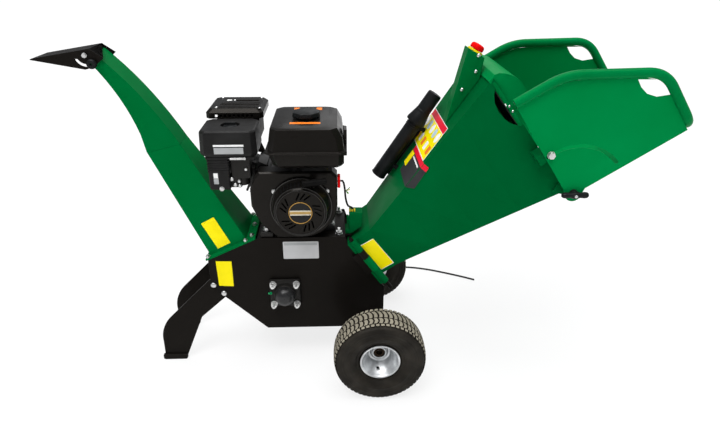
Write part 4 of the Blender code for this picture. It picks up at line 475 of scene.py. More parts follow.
SIDES = (("near", -1), ("far", 1))
NEAR_OUT = (0, -1, 0)
LEG_BOLTS = [(-0.4385, 0.2785), (-0.4095, 0.2485)]
PLATE_FACE = 0.0980
for label, side in SIDES:
    finish_node(f"leg_{label}", body_black, "black_coat", 0.0006, shape=drawn_foot)
    slab(f"leg_pad_{label}", (-0.6285, -0.5510), sorted((side * 0.0870, side * 0.1015)), (0.0, 0.0170),
         body_black, 0.0035, "black_coat")
for label, side in SIDES:
    bolts = [(x, side * PLATE_FACE, z) for x, z in LEG_BOLTS]
    domed_heads(f"leg_bolts_{label}", "frame", bolts, (0, side, 0), 0.0088, 0.0046)

plain_silver = printed("plain_silver_film", (0.50, 0.50, 0.50), 0.30)
plain_grey = printed("plain_grey_film", (0.36, 0.37, 0.37), 0.4)
plain_yellow = printed("plain_yellow_film", (0.90, 0.76, 0.0))
plain_dark = printed("plain_dark_film", (0.03, 0.03, 0.032), 0.4)
plain_red = printed("plain_red_film", (0.72, 0.008, 0.03))
front_film("rating_panel", (-0.2195, -0.1135), (0.3675, 0.4255), -PLATE_FACE, plain_silver, 0.003, 0.0004)
front_film("rating_panel_band", (-0.2155, -0.1175), (0.4135, 0.4215), -PLATE_FACE - 0.0004, plain_grey,
           0.0008, 0.0002)
corners = [(-0.4215, 0.2765), (-0.3775, 0.2735), (-0.3765, 0.3615), (-0.4235, 0.3630)]
sticker("body_panel", [(x, -PLATE_FACE, z) for x, z in corners], 0.0015, 0.0003, plain_yellow)


# Wheels
# Pneumatic turf tyres on zinc-plated pressed rims. The tread is a ring of wavy blocks with
# grooves between them, repeated round the tyre; the axle runs through with a sleeve each side.

tread_rubber = moulded("tread_rubber", (0.215, 0.195, 0.151), 0.85, 260.0, 0.0004, 1.3, 0.1)
wall_rubber = moulded("wall_rubber", (0.0110, 0.0093, 0.0070), 0.62, 300.0, 0.0002, 2.0, 0.12)
AXLE = (0.062, 0.135)
WHEEL_AT = 0.262
ROUND = 96


def lathe(name, profile, centre, outward, material, steps=48, closed=False, angle=28.0):
    """A turned piece from (radius, distance along the axis) points; radius 0 closes it to a point."""
    outward = Vector(outward).normalized()
    side = outward.orthogonal().normalized()
    rise = outward.cross(side)
    centre = Vector(centre)
    verts, rings, faces = [], [], []
    for radius, along in profile:
        start, middle = len(verts), centre + outward * along
        if radius < 1e-6:
            rings.append([start] * steps)
            verts.append(middle)
            continue
        rings.append(list(range(start, start + steps)))
        for step in range(steps):
            turn = 2 * pi * step / steps
            verts.append(middle + (side * cos(turn) + rise * sin(turn)) * radius)
    pairs = list(zip(rings, rings[1:]))
    if closed:
        pairs.append((rings[-1], rings[0]))
    for before, after in pairs:
        for step in range(steps):
            follow = (step + 1) % steps
            face = dict.fromkeys((before[step], before[follow], after[follow], after[step]))
            if len(face) > 2:
                faces.append(tuple(face))
    return new_piece(name, verts, faces, material, angle)


def merged(name, pieces):
    """Several pieces made into one mesh, each keeping its own material."""
    work = bmesh.new()
    materials = []
    pieces = [settle(piece) if piece.modifiers or piece.type != "MESH" else piece for piece in pieces]
    for piece in pieces:
        mesh = piece.data
        start = len(materials)
        materials += list(mesh.materials)
        before = len(work.faces)
        work.from_mesh(mesh)
        work.faces.ensure_lookup_table()
        for face in work.faces[before:]:
            face.material_index += start
    mesh = bpy.data.meshes.new(name)
    work.to_mesh(mesh)
    work.free()
    for material in materials:
        mesh.materials.append(material)
    joined = placed(name, mesh)
    for piece in pieces:
        bpy.data.objects.remove(piece, do_unlink=True)
    return joined


def reckon(tree, operation, first, second):
    """The result of a maths node on two sockets or numbers."""
    return add_node(tree, "ShaderNodeMath", {0: first, 1: second}, operation=operation).outputs[0]


def tread_tree():
    """One pitch of the tread turned round the axle; its worn faces take a finish of their own."""
    tree, given = new_tree("turf_tread", {
        "Block": "Geometry", "Pitches": "Int", "Axle Height": "Float", "Axle Place": "Float",
        "Finish": "Material", "Groove Finish": "Material"}, "Tread")
    line = add_node(tree, "GeometryNodePoints", {"Count": given["Pitches"]})
    index = add_node(tree, "GeometryNodeInputIndex").outputs["Index"]
    turn = reckon(tree, "MULTIPLY", reckon(tree, "DIVIDE", index, given["Pitches"]), 2 * pi)
    about = add_node(tree, "ShaderNodeCombineXYZ", {"Y": turn})
    place = add_node(tree, "ShaderNodeCombineXYZ", {"X": given["Axle Place"], "Z": given["Axle Height"]})
    put = add_node(tree, "GeometryNodeSetPosition", {
        "Geometry": line.outputs[0], "Position": place.outputs["Vector"]})
    copies = add_node(tree, "GeometryNodeInstanceOnPoints", {
        "Points": put.outputs["Geometry"], "Instance": given["Block"], "Rotation": about.outputs["Vector"]})
    real = add_node(tree, "GeometryNodeRealizeInstances", {"Geometry": copies.outputs["Instances"]})
    grooves = add_node(tree, "GeometryNodeSetMaterial", {
        "Geometry": real.outputs["Geometry"], "Material": given["Groove Finish"]})
    worn = add_node(tree, "GeometryNodeInputNamedAttribute", {"Name": "worn"}, data_type="BOOLEAN")
    paint = add_node(tree, "GeometryNodeSetMaterial", {
        "Geometry": grooves.outputs["Geometry"], "Selection": worn.outputs["Attribute"],
        "Material": given["Finish"]})
    add_node(tree, "NodeGroupOutput", {"Tread": paint.outputs["Geometry"]})
    return tree


treads = tread_tree()
PITCHES = 58
CARCASS = 0.1302
TREAD_TOP = 0.1348
ROWS = [(0.0370, 0.0036, 0.36, (0.0, 0.0, 0.0)), (0.0203, 0.0112, 0.0, (0.20, 0.02, -0.24)),
        (-0.0090, 0.0162, 0.0, (0.12, -0.225, -0.245)), (-0.0353, 0.0080, 0.36, (0.0, 0.05, 0.0))]


def crown_drop(across):
    """How far the tread lies under its middle at a distance across the tyre."""
    return 0.0068 * (abs(across) / 0.047) ** 3.2


def tread_block(name, side):
    """One pitch of the tread: rows of blocks cut on a curve, with a row of short bars outside."""
    pitch = 2 * pi / PITCHES
    steps = 5
    count = steps + 1
    verts = []
    faces = []
    for middle, half, lag, curve in ROWS:
        base = len(verts)
        shares = [2 * step / steps - 1 for step in range(count)]
        strip = [(middle - half * share, curve[0] + curve[1] * share + curve[2] * share * share)
                 for share in shares]
        # The foot sits in the carcass; the worn top is a little shorter and narrower.
        for level, length, width in ((CARCASS - 0.0006, 1.0, 1.0), (TREAD_TOP, 0.88, 0.93)):
            for edge in (-0.37, 0.37):
                for across, wave in strip:
                    turn = pitch * (lag + wave + edge * length)
                    inset = middle + (across - middle) * width
                    radius = level - crown_drop(across)
                    verts.append((radius * sin(turn), side * (WHEEL_AT + inset), radius * cos(turn)))
        for step in range(steps):
            low_a, low_b, low_c, low_d = (base + step + jump for jump in (0, 1, count, count + 1))
            top_a, top_b, top_c, top_d = (corner + 2 * count for corner in (low_a, low_b, low_c, low_d))
            faces += [(top_a, top_b, top_d, top_c), (low_a, low_b, top_b, top_a), (low_c, top_c, top_d, low_d)]
            if step == 0:
                faces.append((low_a, top_a, top_c, low_c))
            if step == steps - 1:
                faces.append((low_b, low_d, top_d, top_b))
    mesh = closed_mesh(name, verts, faces)
    worn = mesh.attributes.new("worn", "BOOLEAN", "FACE")
    for mark, part in zip(worn.data, mesh.polygons):
        outward = Vector((part.center.x, 0.0, part.center.z)).normalized()
        mark.value = part.normal.dot(outward) > 0.8
    return placed(name, mesh)


def make_wheel(label, side):
    """One wheel: the tyre with its tread, the pressed rim with its race, and the valve."""
    centre = (AXLE[0], side * WHEEL_AT, AXLE[1])
    out = (0, side, 0)
    body = f"wheel_{label}"
    half = 0.0495
    wall = [(0.0545, 0.0300), (0.0610, 0.0322), (0.0632, 0.0366), (0.0655, 0.0372), (0.0690, 0.0372),
            (0.0760, 0.0445), (0.0800, 0.0468), (0.0870, 0.0484), (0.0900, half), (0.0912, half), (0.0925, 0.0485),
            (0.1030, 0.0484), (0.1060, 0.0486), (0.1072, half), (0.1084, half), (0.1098, 0.0484), (0.1130, 0.0482)]
    shoulder = [(CARCASS - crown_drop(across), across) for across in (0.0470, 0.0415, 0.0340, 0.0230, 0.0110, 0.0)]
    half_section = wall + [(0.1205, 0.0484)] + shoulder
    section = half_section + [(radius, -across) for radius, across in reversed(half_section[:-1])]
    tyre = lathe(f"tyre_{label}_carcass", section, centre, out, wall_rubber, ROUND, True, 45.0)
    values = {"Pitches": PITCHES, "Axle Height": AXLE[1], "Axle Place": AXLE[0], "Finish": tread_rubber,
              "Groove Finish": wall_rubber}
    tread = grow(tread_block(f"tyre_{label}_tread", side), treads, values)
    shade(tread.data, 40.0)
    set_on(merged(f"tyre_{label}_whole", [tyre, tread]), body, "tyre_rubber", f"tyre_{label}")

    dish = [(0.0168, -0.0160), (0.0168, -0.0045), (0.0178, -0.0032), (0.0200, -0.0032), (0.0208, -0.0045),
            (0.0212, -0.0160), (0.0238, -0.0170), (0.0252, -0.0160), (0.0258, -0.0105), (0.0275, -0.0085),
            (0.0300, -0.0080), (0.0322, -0.0062), (0.0338, -0.0010), (0.0362, 0.0062), (0.0402, 0.0150),
            (0.0448, 0.0225), (0.0480, 0.0268), (0.0500, 0.0310), (0.0514, 0.0352), (0.0532, 0.0382),
            (0.0560, 0.0394), (0.0580, 0.0388), (0.0584, 0.0368), (0.0570, 0.0340), (0.0560, 0.0300),
            (0.0560, 0.0)]
    outer = lathe(f"rim_{label}_dish", dish, centre, out, rim_zinc, ROUND, False, 30.0)
    back = [(0.0560, 0.0), (0.0565, -0.0300), (0.0590, -0.0335), (0.0622, -0.0352), (0.0615, -0.0368),
            (0.0580, -0.0362), (0.0545, -0.0335), (0.0500, -0.0290), (0.0420, -0.0262), (0.0300, -0.0255),
            (0.0190, -0.0280), (0.0172, -0.0320), (0.0172, -0.0435), (0.0106, -0.0438)]
    inner = lathe(f"rim_{label}_back", back, centre, out, rim_zinc, 64, False, 30.0)
    race = [(0.0168, -0.0045), (0.0168, -0.0075), (0.0148, -0.0070), (0.0140, -0.0080), (0.0118, -0.0080),
            (0.0110, -0.0060), (0.0098, -0.0060), (0.0094, -0.0240), (0.0, -0.0240)]
    bearing = lathe(f"rim_{label}_race", race, centre, out, dark_steel, 48, False, 30.0)
    set_on(merged(f"rim_{label}_whole", [outer, inner, bearing]), body, "zinc", f"rim_{label}")
    aim = Vector((0.10, side * 0.45, 0.89))
    spot = Vector((centre[0] - 0.0050, centre[1] + side * 0.0160, centre[2] - 0.0392))
    seat = [(0.0, -0.0010), (0.0040, -0.0010), (0.0048, 0.0022), (0.0056, 0.0024), (0.0066, 0.0004),
            (0.0070, -0.0040)]
    set_on(lathe(f"valve_seat_{label}", seat, spot, aim, rim_zinc, 28), body)
    valve = [(0.0, 0.0004), (0.0014, 0.0004), (0.0016, -0.0002), (0.0045, -0.0002), (0.0046, 0.0012)]
    set_on(lathe(f"valve_{label}", valve, spot, aim, black_trim, 20), body)


rim_zinc = plated("rim_zinc", (0.74, 0.755, 0.765), 0.42, 0.0)
dark_steel = plated("dark_steel", (0.060, 0.040, 0.026), 0.5)
black_trim = moulded("black_trim", (0.0052, 0.0058, 0.0063), 0.42, 380.0, 0.0001, 1.6, 0.14)
for label, side in SIDES:
    make_wheel(label, side)
AXLE_END = 0.2385
half_shaft = [(0.0100, 0.0985), (0.0150, 0.0985), (0.0150, 0.2175), (0.0100, 0.2175),
              (0.0100, AXLE_END - 0.001), (0.0090, AXLE_END), (0.0, AXLE_END)]
shaft = [(radius, -along) for radius, along in reversed(half_shaft)] + half_shaft
set_on(lathe("axle_bar", shaft, (AXLE[0], 0.0, AXLE[1]), (0, 1, 0), zinc_plate, 40), "frame", "zinc", "axle")


# Bearings, rotor and belt drive
# Square flanged bearings held by four studs with double nuts, a cap over the near shaft end,
# a drum with two knives inside the housing, and the belt with its guard on the far side.

engine_black = powder_coat("engine_black", (0.0054, 0.0047, 0.0040), (0.0078, 0.0070, 0.0062), 0.30, 0.10, 0.08)
cast_iron = powder_coat("cast_iron", (0.0100, 0.0094, 0.0088), (0.016, 0.0150, 0.0140), 0.45, 0.10, 0.12)
tool_steel = plated("tool_steel", (0.46, 0.46, 0.46), 0.38)
belt_rubber = moulded("belt_rubber", (0.016, 0.016, 0.017), 0.7, 300.0, 0.0002, 1.6)
green_cap = moulded("green_cap", (0.0, 0.24, 0.075), 0.35, 400.0, 0.00003, 1.1)
ROTOR = (-0.220, 0.252)
STUDS_AT = (-0.0355, 0.0355)

HEX_SIZES = ("Head Radius", "Head Height", "Washer Radius", "Washer Height", "Thread Radius", "Thread Length")


def hexagon_tree():
    """Hexagon nuts or bolt heads with washers, one on each point, facing along its aim."""
    sizes = {label: "Float" for label in HEX_SIZES}
    tree, given = new_tree("hexagon_fasteners", {"Places": "Geometry", **sizes, "Finish": "Material"}, "Fasteners")
    join = add_node(tree, "GeometryNodeJoinGeometry")
    foot = 0.0
    for sides, radius, depth in ((20, "Washer Radius", "Washer Height"), (6, "Head Radius", "Head Height"),
                                 (14, "Thread Radius", "Thread Length")):
        body = add_node(tree, "GeometryNodeMeshCylinder", {
            "Vertices": sides, "Radius": given[radius], "Depth": given[depth]})
        middle = reckon(tree, "ADD", foot, reckon(tree, "MULTIPLY", given[depth], 0.5))
        place = add_node(tree, "ShaderNodeCombineXYZ", {"Z": middle})
        lift = add_node(tree, "GeometryNodeTransform", {
            "Geometry": body.outputs["Mesh"], "Translation": place.outputs["Vector"]})
        tree.links.new(lift.outputs["Geometry"], join.inputs["Geometry"])
        foot = reckon(tree, "ADD", foot, given[depth])
    return end_on_places(tree, given, join.outputs["Geometry"])


hexagons = hexagon_tree()


def hex_fasteners(name, body, places, aim, size, thread=0.004):
    """Nuts or bolts of a thread size (M8 is 0.008) with their washers, on one body."""
    sizes = zip(HEX_SIZES, (size * 0.94, size * 0.75, size * 1.06, size * 0.2, size * 0.46, thread))
    return fasten(name, hexagons, body, places, aim, dict(sizes))


bearing_plastic = moulded("bearing_plastic", (0.010, 0.010, 0.0105), 0.30, 400.0, 0.00003, 1.3, 0.4)
for label, side in SIDES:
    finish_node(f"bearing_{label}", cast_iron, "engine_black", 0.0012, 3)
    studs = [(ROTOR[0] + x, side * 0.1113, ROTOR[1] + z) for x in STUDS_AT for z in STUDS_AT]
    hex_fasteners(f"bearing_nuts_{label}", "frame", studs, (0, side, 0), 0.0096, 0.0002)
    tops = [(x, y + side * 0.0080, z) for x, y, z in studs]
    hex_fasteners(f"bearing_lock_nuts_{label}", "frame", tops, (0, side, 0), 0.0088, 0.0075)
    nipple = [(0.0, 0.011), (0.0022, 0.0105), (0.0034, 0.0085), (0.0030, 0.006), (0.0040, 0.005), (0.0042, 0.0)]
    spot = (-0.2610, side * 0.1160, 0.2570)
    set_on(lathe(f"grease_nipple_{label}", nipple, spot, (-0.72, side * 0.35, 0.2), green_cap, 14))
cap = [(0.0, 0.0412), (0.0080, 0.0407), (0.0150, 0.0388), (0.0215, 0.0352), (0.0268, 0.0296), (0.0300, 0.0225),
       (0.0312, 0.0140), (0.0314, 0.0060), (0.0330, 0.0050), (0.0330, 0.0)]
set_on(lathe("bearing_cap", cap, (ROTOR[0], -0.1100, ROTOR[1]), NEAR_OUT, bearing_plastic, 64))
for node, edge in (("rotor_drum", 0.0005), ("knife_a", 0.0003), ("knife_b", 0.0003), ("anvil", 0.0004)):
    finish_node(node, tool_steel, "tool_steel", edge)
for node in ("rotor_pulley", "drive_pulley"):
    finish_node(node, cast_iron, "engine_black", 0.0006)
finish_node("drive_belt", belt_rubber, "belt_rubber", 0.0008)
for node in ("belt_guard", "hinge_pin"):
    finish_node(node, body_black, "black_coat", 0.0010, 3)


# Discharge chute
# Two welded lengths of green sheet: a wide one on a bolted flange that draws in, and a narrow
# one that bends over. The black hood turns on two bolts and is held by a lobed knob.

green_paint = powder_coat("green_paint", (0.0, 0.126, 0.027), (0.0, 0.148, 0.035), 0.36, 0.0, 0.008)


def longer_straight(at):
    """The kink of the chute's underside, drawn a little further down."""
    near = Vector((at.x + 0.5945, 0.0, at.z - 0.7140)).length < 0.004
    return at + Vector((0.0024, 0.0, -0.0260)) if near else at


for node in ("chute_lower", "chute_upper"):
    finish_node(node, green_paint, "green_coat", 0.0008, 3, 32.0, longer_straight)
finish_node("deflector", body_black, "black_coat", 0.0006)
finish_node("deflector_knob", black_trim, "black_plastic", 0.0012, 3)
SEAT_TURN = radians(25.0)
SEAT_START = (-0.446, 0.366)


def on_seat(distance, across, lift=0.0054):
    """A point over the sloping seat of the chute."""
    return (SEAT_START[0] + distance * cos(SEAT_TURN) - lift * sin(SEAT_TURN), across,
            SEAT_START[1] + distance * sin(SEAT_TURN) + lift * cos(SEAT_TURN))


seat_bolts = [on_seat(distance, across) for across in (-0.089, 0.089) for distance in (0.003, 0.131)]
seat_bolts += [on_seat(0.150, across) for across in (-0.072, 0.0, 0.072)]
hex_fasteners("seat_bolts", "frame", seat_bolts, (-sin(SEAT_TURN), 0, cos(SEAT_TURN)), 0.0072, 0.002)
for label, side in SIDES:
    hex_fasteners(f"hood_bolt_{label}", "frame", [(-0.709, side * 0.0515, 0.961)], (0, side, 0), 0.0062, 0.001)
sticker("chute_panel", [(-0.4165, -0.0791, 0.3956), (-0.3773, -0.0789, 0.4153), (-0.4209, -0.0696, 0.4964),
                        (-0.4598, -0.0698, 0.4757)], 0.0015, 0.0004, plain_yellow)


# Hopper
# Green sheet, welded: a square throat that opens into a wide mouth which leans back. It swings
# aside on an upright pin beside the housing. A bent hood closes the mouth at the top.

FEED_TILT = radians(36.0)
WALL_START = Vector((0.0387, -0.0940, 0.4571))
UP_WALL = Vector((0.56479, 0.0, 0.82523))
OFF_TOP = Vector((-0.82523, 0.0, 0.56479))
EDGE = Vector((0.56479, -0.07940, 0.82523))
OFF_NEAR = Vector((-0.244, -0.967, 0.074)).normalized()
DOWN_NEAR = EDGE.normalized().cross(OFF_NEAR).normalized()


def top_wall(along, across, lift=0.0):
    """A point over the sloping top wall, measured up the wall from the throat."""
    return Vector((WALL_START.x, across, WALL_START.z)) + UP_WALL * along + OFF_TOP * lift


def near_wall(along, down, lift=0.0):
    """A point over the near wall, measured down from its top edge."""
    return WALL_START + EDGE * along + DOWN_NEAR * down + OFF_NEAR * lift


def along_feed(along, rise, across):
    """A point in the hopper, measured along the feed and square to it."""
    return Vector((along * cos(FEED_TILT) - rise * sin(FEED_TILT), across,
                   along * sin(FEED_TILT) + rise * cos(FEED_TILT)))


# The hopper's walls take the green paint made darker: painted shade.
funnel_green_painted_shade = powder_coat("funnel_green_painted_shade", (0.0, 0.090, 0.021), (0.0, 0.108, 0.027), 0.36, 0.0, 0.008)
# The tray, the cowl and its cheek take the same green paint made lighter: painted light.
tray_green_painted_light = powder_coat("tray_green_painted_light", (0.0, 0.196, 0.044), (0.0, 0.222, 0.054), 0.36, 0.0, 0.02)
finish_node("hopper_funnel", funnel_green_painted_shade, "green_coat", 0.0010, 3, 22.0)
finish_node("hopper_cowl", tray_green_painted_light, "green_coat", 0.0008, 3)
cheek = [(0.8075, 0.5290), (0.8287, 0.5358), (0.8390, 0.5336), (0.8495, 0.5250), (0.8586, 0.5148),
         (0.8658, 0.5032), (0.8710, 0.4904), (0.8739, 0.4770), (0.8744, 0.4634), (0.8727, 0.4499),
         (0.8687, 0.4370), (0.8218, 0.4370)]
verts = [along_feed(along, rise, across) for across in (-0.1378, -0.1360) for along, rise in cheek]
set_on(new_piece("cowl_cheek", verts, plate_faces(len(cheek)), tray_green_painted_light), "hopper", "green_coat")
plain_white = printed("plain_white_film", (0.82, 0.82, 0.80))
plain_orange = printed("plain_orange_film", (0.80, 0.20, 0.02))
plain_blue = printed("plain_pale_blue_film", (0.42, 0.56, 0.66))
THROAT = [(0.0768, 0.3213), (0.1146, 0.3454), (0.0493, 0.4301), (0.0105, 0.4064)]
middle_x, middle_z = sum(x for x, z in THROAT) / 4, sum(z for x, z in THROAT) / 4
border = [(x, WALL_START.y, z) for x, z in THROAT]
sticker("throat_panel_border", border, 0.002, 0.0003, plain_white, "hopper")
field = [(middle_x + (x - middle_x) * 0.95, WALL_START.y - 0.0003, middle_z + (z - middle_z) * 0.97)
         for x, z in THROAT]
sticker("throat_panel", field, 0.001, 0.0003, plain_yellow, "hopper")


def wall_film(name, low, high, near, far, lift, thick, material, radius=0.0015):
    """A film on the top wall between two places along it and two across it."""
    corners = [top_wall(low, near, lift), top_wall(high, near, lift),
               top_wall(high, far, lift), top_wall(low, far, lift)]
    return sticker(name, corners, radius, thick, material, "hopper")


wall_film("top_panel_border", 0.262, 0.3765, -0.0935, 0.1190, 0.0, 0.0003, plain_white, 0.003)
wall_film("top_panel", 0.265, 0.353, -0.0910, 0.1165, 0.0003, 0.0003, plain_yellow)
wall_film("top_panel_header", 0.355, 0.3745, -0.0910, 0.1165, 0.0003, 0.0003, plain_red)
disc = [(0.0, 0.0004), (0.0150, 0.0004), (0.0155, 0.0)]
for number in range(5):
    across = -0.070 + 0.043 * number
    set_on(lathe(f"top_panel_disc_{number}", disc, top_wall(0.334, across, 0.0006), OFF_TOP,
                 plain_blue if number % 2 else plain_white, 28), "hopper")
    wall_film(f"top_panel_block_{number}", 0.278, 0.304, across - 0.012, across + 0.012, 0.0006, 0.0003,
              plain_orange if number % 2 == 0 else plain_white, 0.002)

EDGE_LOW, EDGE_HIGH = WALL_START.y + EDGE.y * 0.175, WALL_START.y + EDGE.y * 0.262
wall_film("tag_panel", 0.175, 0.247, EDGE_LOW + 0.001, 0.030, 0.0, 0.0008, plain_dark)
wall_film("tag_panel_red", 0.247, 0.262, EDGE_HIGH + 0.001, 0.046, 0.0, 0.0008, plain_red)
wall_film("tag_panel_yellow", 0.199, 0.245, 0.008, 0.045, 0.0008, 0.0003, plain_yellow)
wall_film("tag_panel_line", 0.236, 0.241, -0.094, 0.000, 0.0008, 0.0003, plain_white)
for name, fold, material in (
        ("tag_panel_fold", ((0.175, 0.0006), (0.188, 0.0235), (0.247, 0.0190), (0.247, 0.0006)), plain_dark),
        ("tag_panel_red_fold", ((0.247, 0.0006), (0.247, 0.0190), (0.262, 0.0180), (0.262, 0.0006)), plain_red)):
    sticker(name, [near_wall(along, down) for along, down in fold], 0.001, 0.0008, material, "hopper")

# The lower knuckle of the hinge reaches up over the pin as a green sleeve.
sleeve = [(0.0112, 0.0), (0.0120, 0.0), (0.0120, 0.0500), (0.0112, 0.0500)]
set_on(lathe("hinge_sleeve", sleeve, along_feed(0.242, 0.2355, -0.108), (-sin(FEED_TILT), 0, cos(FEED_TILT)),
             green_paint, 36, True), "hopper", "green_coat")

# A flat bar closes the round-ended window in the near wall; two small screws hold the rubber
# curtain behind it, which is cut into strips and hangs inside the mouth.

def wall_half(along, rise):
    """Half the inside width of the mouth at a place along the feed and over it."""
    share = (along - 0.300) / 0.522
    low, high, wide, narrow = (throat + (mouth - throat) * share for throat, mouth in (
        (0.203, 0.181), (0.347, 0.533), (0.094, 0.212), (0.094, 0.138)))
    return wide + (narrow - wide) * (rise - low) / (high - low)


bar = [along_feed(along, rise, -wall_half(along, rise))
       for along, rise in ((0.8125, 0.392), (0.8215, 0.392), (0.8215, 0.524), (0.8125, 0.524))]
sticker("window_bar", bar, 0.001, 0.0028, green_paint, "hopper", "green_coat")
screws = [along_feed(0.8170, rise, -wall_half(0.8170, rise) - 0.0024) for rise in (0.452, 0.436)]
domed_heads("window_screws", "hopper", screws, (0.10, -0.98, 0.17), 0.0034, 0.0022)

curtain_rubber = moulded("curtain_rubber", (0.016, 0.016, 0.0165), 0.55, 120.0, 0.0002, 1.7)
STRIPS, ROWS_DOWN, COLUMNS = 6, 14, 4
CURTAIN_AT, CURTAIN_TOP, CURTAIN_LOW = 0.8085, 0.512, 0.262
verts, faces = [], []
for strip in range(STRIPS):
    start = len(verts)
    for row in range(ROWS_DOWN + 1):
        share = row / ROWS_DOWN
        rise = CURTAIN_TOP + (CURTAIN_LOW - CURTAIN_TOP) * share
        reach = wall_half(CURTAIN_AT, rise) - 0.0065
        sway = 0.005 * share * share * sin(1.9 * strip + 0.6)
        for column in range(COLUMNS + 1):
            across = reach * (2 * (strip + 0.006 + 0.988 * column / COLUMNS) / STRIPS - 1)
            curl = 0.0018 * sin(pi * column / COLUMNS) * share
            verts.append(along_feed(CURTAIN_AT + sway + curl, rise, across))
    for row in range(ROWS_DOWN):
        for column in range(COLUMNS):
            first = start + row * (COLUMNS + 1) + column
            under = first + COLUMNS + 1
            faces.append((first, first + 1, under + 1, under))
curtain = new_piece("mouth_curtain", verts, faces, curtain_rubber, 40.0)
thick = curtain.modifiers.new("rubber sheet", "SOLIDIFY")
thick.thickness = 0.0024
thick.offset = 0.0
set_on(curtain, "hopper")


# Stop-button box
# A wedge of green sheet screwed to the top wall, with a red mushroom button on a yellow ring.

finish_node("estop_box", green_paint, "green_coat", 0.0012, 3)
red_plastic = moulded("red_plastic", (0.70, 0.003, 0.003), 0.30, 400.0, 0.00003, 1.1, 0.02)
yellow_plastic = moulded("yellow_plastic", (0.88, 0.66, 0.0), 0.35, 400.0, 0.00003, 1.05)
BUTTON_AIM = Vector((0.4892, 0.0, 0.8722))
BUTTON_FOOT = Vector((0.3220, -0.028, 0.9630))
mushroom = [(0.0, -0.0178), (0.0073, -0.0178), (0.0073, 0.0064), (0.0180, 0.0064), (0.0192, 0.0078),
            (0.0195, 0.0105), (0.0192, 0.0148), (0.0184, 0.0180), (0.0160, 0.0204), (0.0120, 0.0216),
            (0.0060, 0.0223), (0.0, 0.0225)]
set_on(lathe("stop_button_cap", mushroom, BUTTON_FOOT, BUTTON_AIM, red_plastic, 48), "stop_button",
       "red_plastic", "estop_button")
ring = [(0.0080, 0.0002), (0.0222, 0.0002), (0.0222, 0.0040), (0.0213, 0.0052), (0.0201, 0.0052),
        (0.0201, 0.0010), (0.0080, 0.0010)]
set_on(lathe("stop_button_ring", ring, BUTTON_FOOT, BUTTON_AIM, yellow_plastic, 40, True), "hopper")
screws = [(x, -0.0520, z) for x, z in ((0.3285, 0.9559), (0.3248, 0.9136), (0.2906, 0.8649))]
domed_heads("stop_box_screws", "hopper", screws, NEAR_OUT, 0.0056, 0.0032)


# Tube for papers
# A black plastic tube clipped on the far side of the top wall, with a collar, fine ribs and a
# push-in cap.

TUBE_FOOT = Vector((0.07194, 0.070, 0.56941))
TUBE_LEAN = 0.0066 / 0.302


def lean_tube(at):
    """The tube stands off the wall a little more towards its cap; its clips still meet the wall."""
    reach = at - TUBE_FOOT
    lift = reach.dot(OFF_TOP) + 0.036
    return at + OFF_TOP * (TUBE_LEAN * reach.dot(UP_WALL) * min(1.0, max(0.0, (lift - 0.002) / 0.012)))


tube_aim = UP_WALL + OFF_TOP * TUBE_LEAN
finish_node("manual_tube", black_trim, "black_plastic", 0.0008, 2, 40.0, lean_tube)
cap = [(0.0228, 0.2010), (0.0290, 0.2012), (0.0302, 0.2030), (0.0300, 0.2085), (0.0266, 0.2240),
       (0.0240, 0.2360), (0.0232, 0.2400), (0.0231, 0.2435), (0.0219, 0.2455), (0.0217, 0.2990),
       (0.0208, 0.3035), (0.0190, 0.3050), (0.0, 0.3050)]
set_on(lathe("tube_cap_turned", cap, TUBE_FOOT, tube_aim, black_trim, 56), "paper_tube_cap", "black_plastic",
       "tube_cap")
for number, along in enumerate((0.004, 0.188, 0.194)):
    rib = [(0.0222, along - 0.0016), (0.0236, along - 0.0010), (0.0236, along + 0.0010), (0.0222, along + 0.0016)]
    set_on(lathe(f"tube_rib_{number}", rib, TUBE_FOOT, tube_aim, black_trim, 40, True), "hopper")
SADDLE = ((0.012, -0.0355), (0.196, -0.0355), (0.196, -0.0120), (0.012, -0.0160))
verts = [TUBE_FOOT + UP_WALL * along + OFF_TOP * lift + Vector((0, across, 0))
         for across in (0.0280, 0.0310) for along, lift in SADDLE]
set_on(new_piece("tube_saddle", verts, plate_faces(len(SADDLE)), black_trim), "hopper")


# Feed tray
# Two green wings and a floor of sheet, with a bent tube welded round the open edge. It folds up
# on two studs; guide bolts run in its curved slots, and two T-shaped knobs clamp it.

def rounded_route(points, radius, steps):
    """A path through points whose inner corners are eased."""
    path = [Vector(points[0])]
    for before, corner, after in zip(points, points[1:], points[2:]):
        before, corner, after = Vector(before), Vector(corner), Vector(after)
        start = corner + (before - corner).normalized() * radius
        end = corner + (after - corner).normalized() * radius
        for step in range(steps + 1):
            share = step / steps
            path.append(start.lerp(corner, share).lerp(corner.lerp(end, share), share))
    path.append(Vector(points[-1]))
    return path


# The tray takes the lighter copy of the green paint, as painted light.
finish_node("tray_shell", tray_green_painted_light, "green_coat", 0.0005, 2)
PIVOT = (0.56802, 0.63197)
side_route = [(PIVOT[0] - 0.184, PIVOT[1] + 0.240), (PIVOT[0] - 0.068, PIVOT[1] + 0.310),
              (PIVOT[0] + 0.176, PIVOT[1] + 0.316), (PIVOT[0] + 0.2742, PIVOT[1] + 0.179)]
rail = [(x, -0.236, z) for x, z in side_route] + [(x, 0.236, z) for x, z in reversed(side_route)]
rail_path = rounded_route(rail, 0.045, 12)
rail_green = powder_coat("rail_green", (0.0, 0.160, 0.038), (0.0, 0.182, 0.046), 0.22, 0.0, 0.05)
set_on(settle(pipe("tray_rail", rail_path, 0.0125, rail_green, 8)), "tray", "green_coat", "tray_tube")
guides = [(0.4929, side * 0.2377, 0.7393) for label, side in SIDES]
guide_aims = [(0, side, 0) for label, side in SIDES]
hex_fasteners("guide_washers", "hopper", guides, guide_aims, 0.0098, 0.0002)
domed_heads("guide_bolts", "hopper", [(x, y * 1.012, z) for x, y, z in guides], guide_aims, 0.0098, 0.0062)
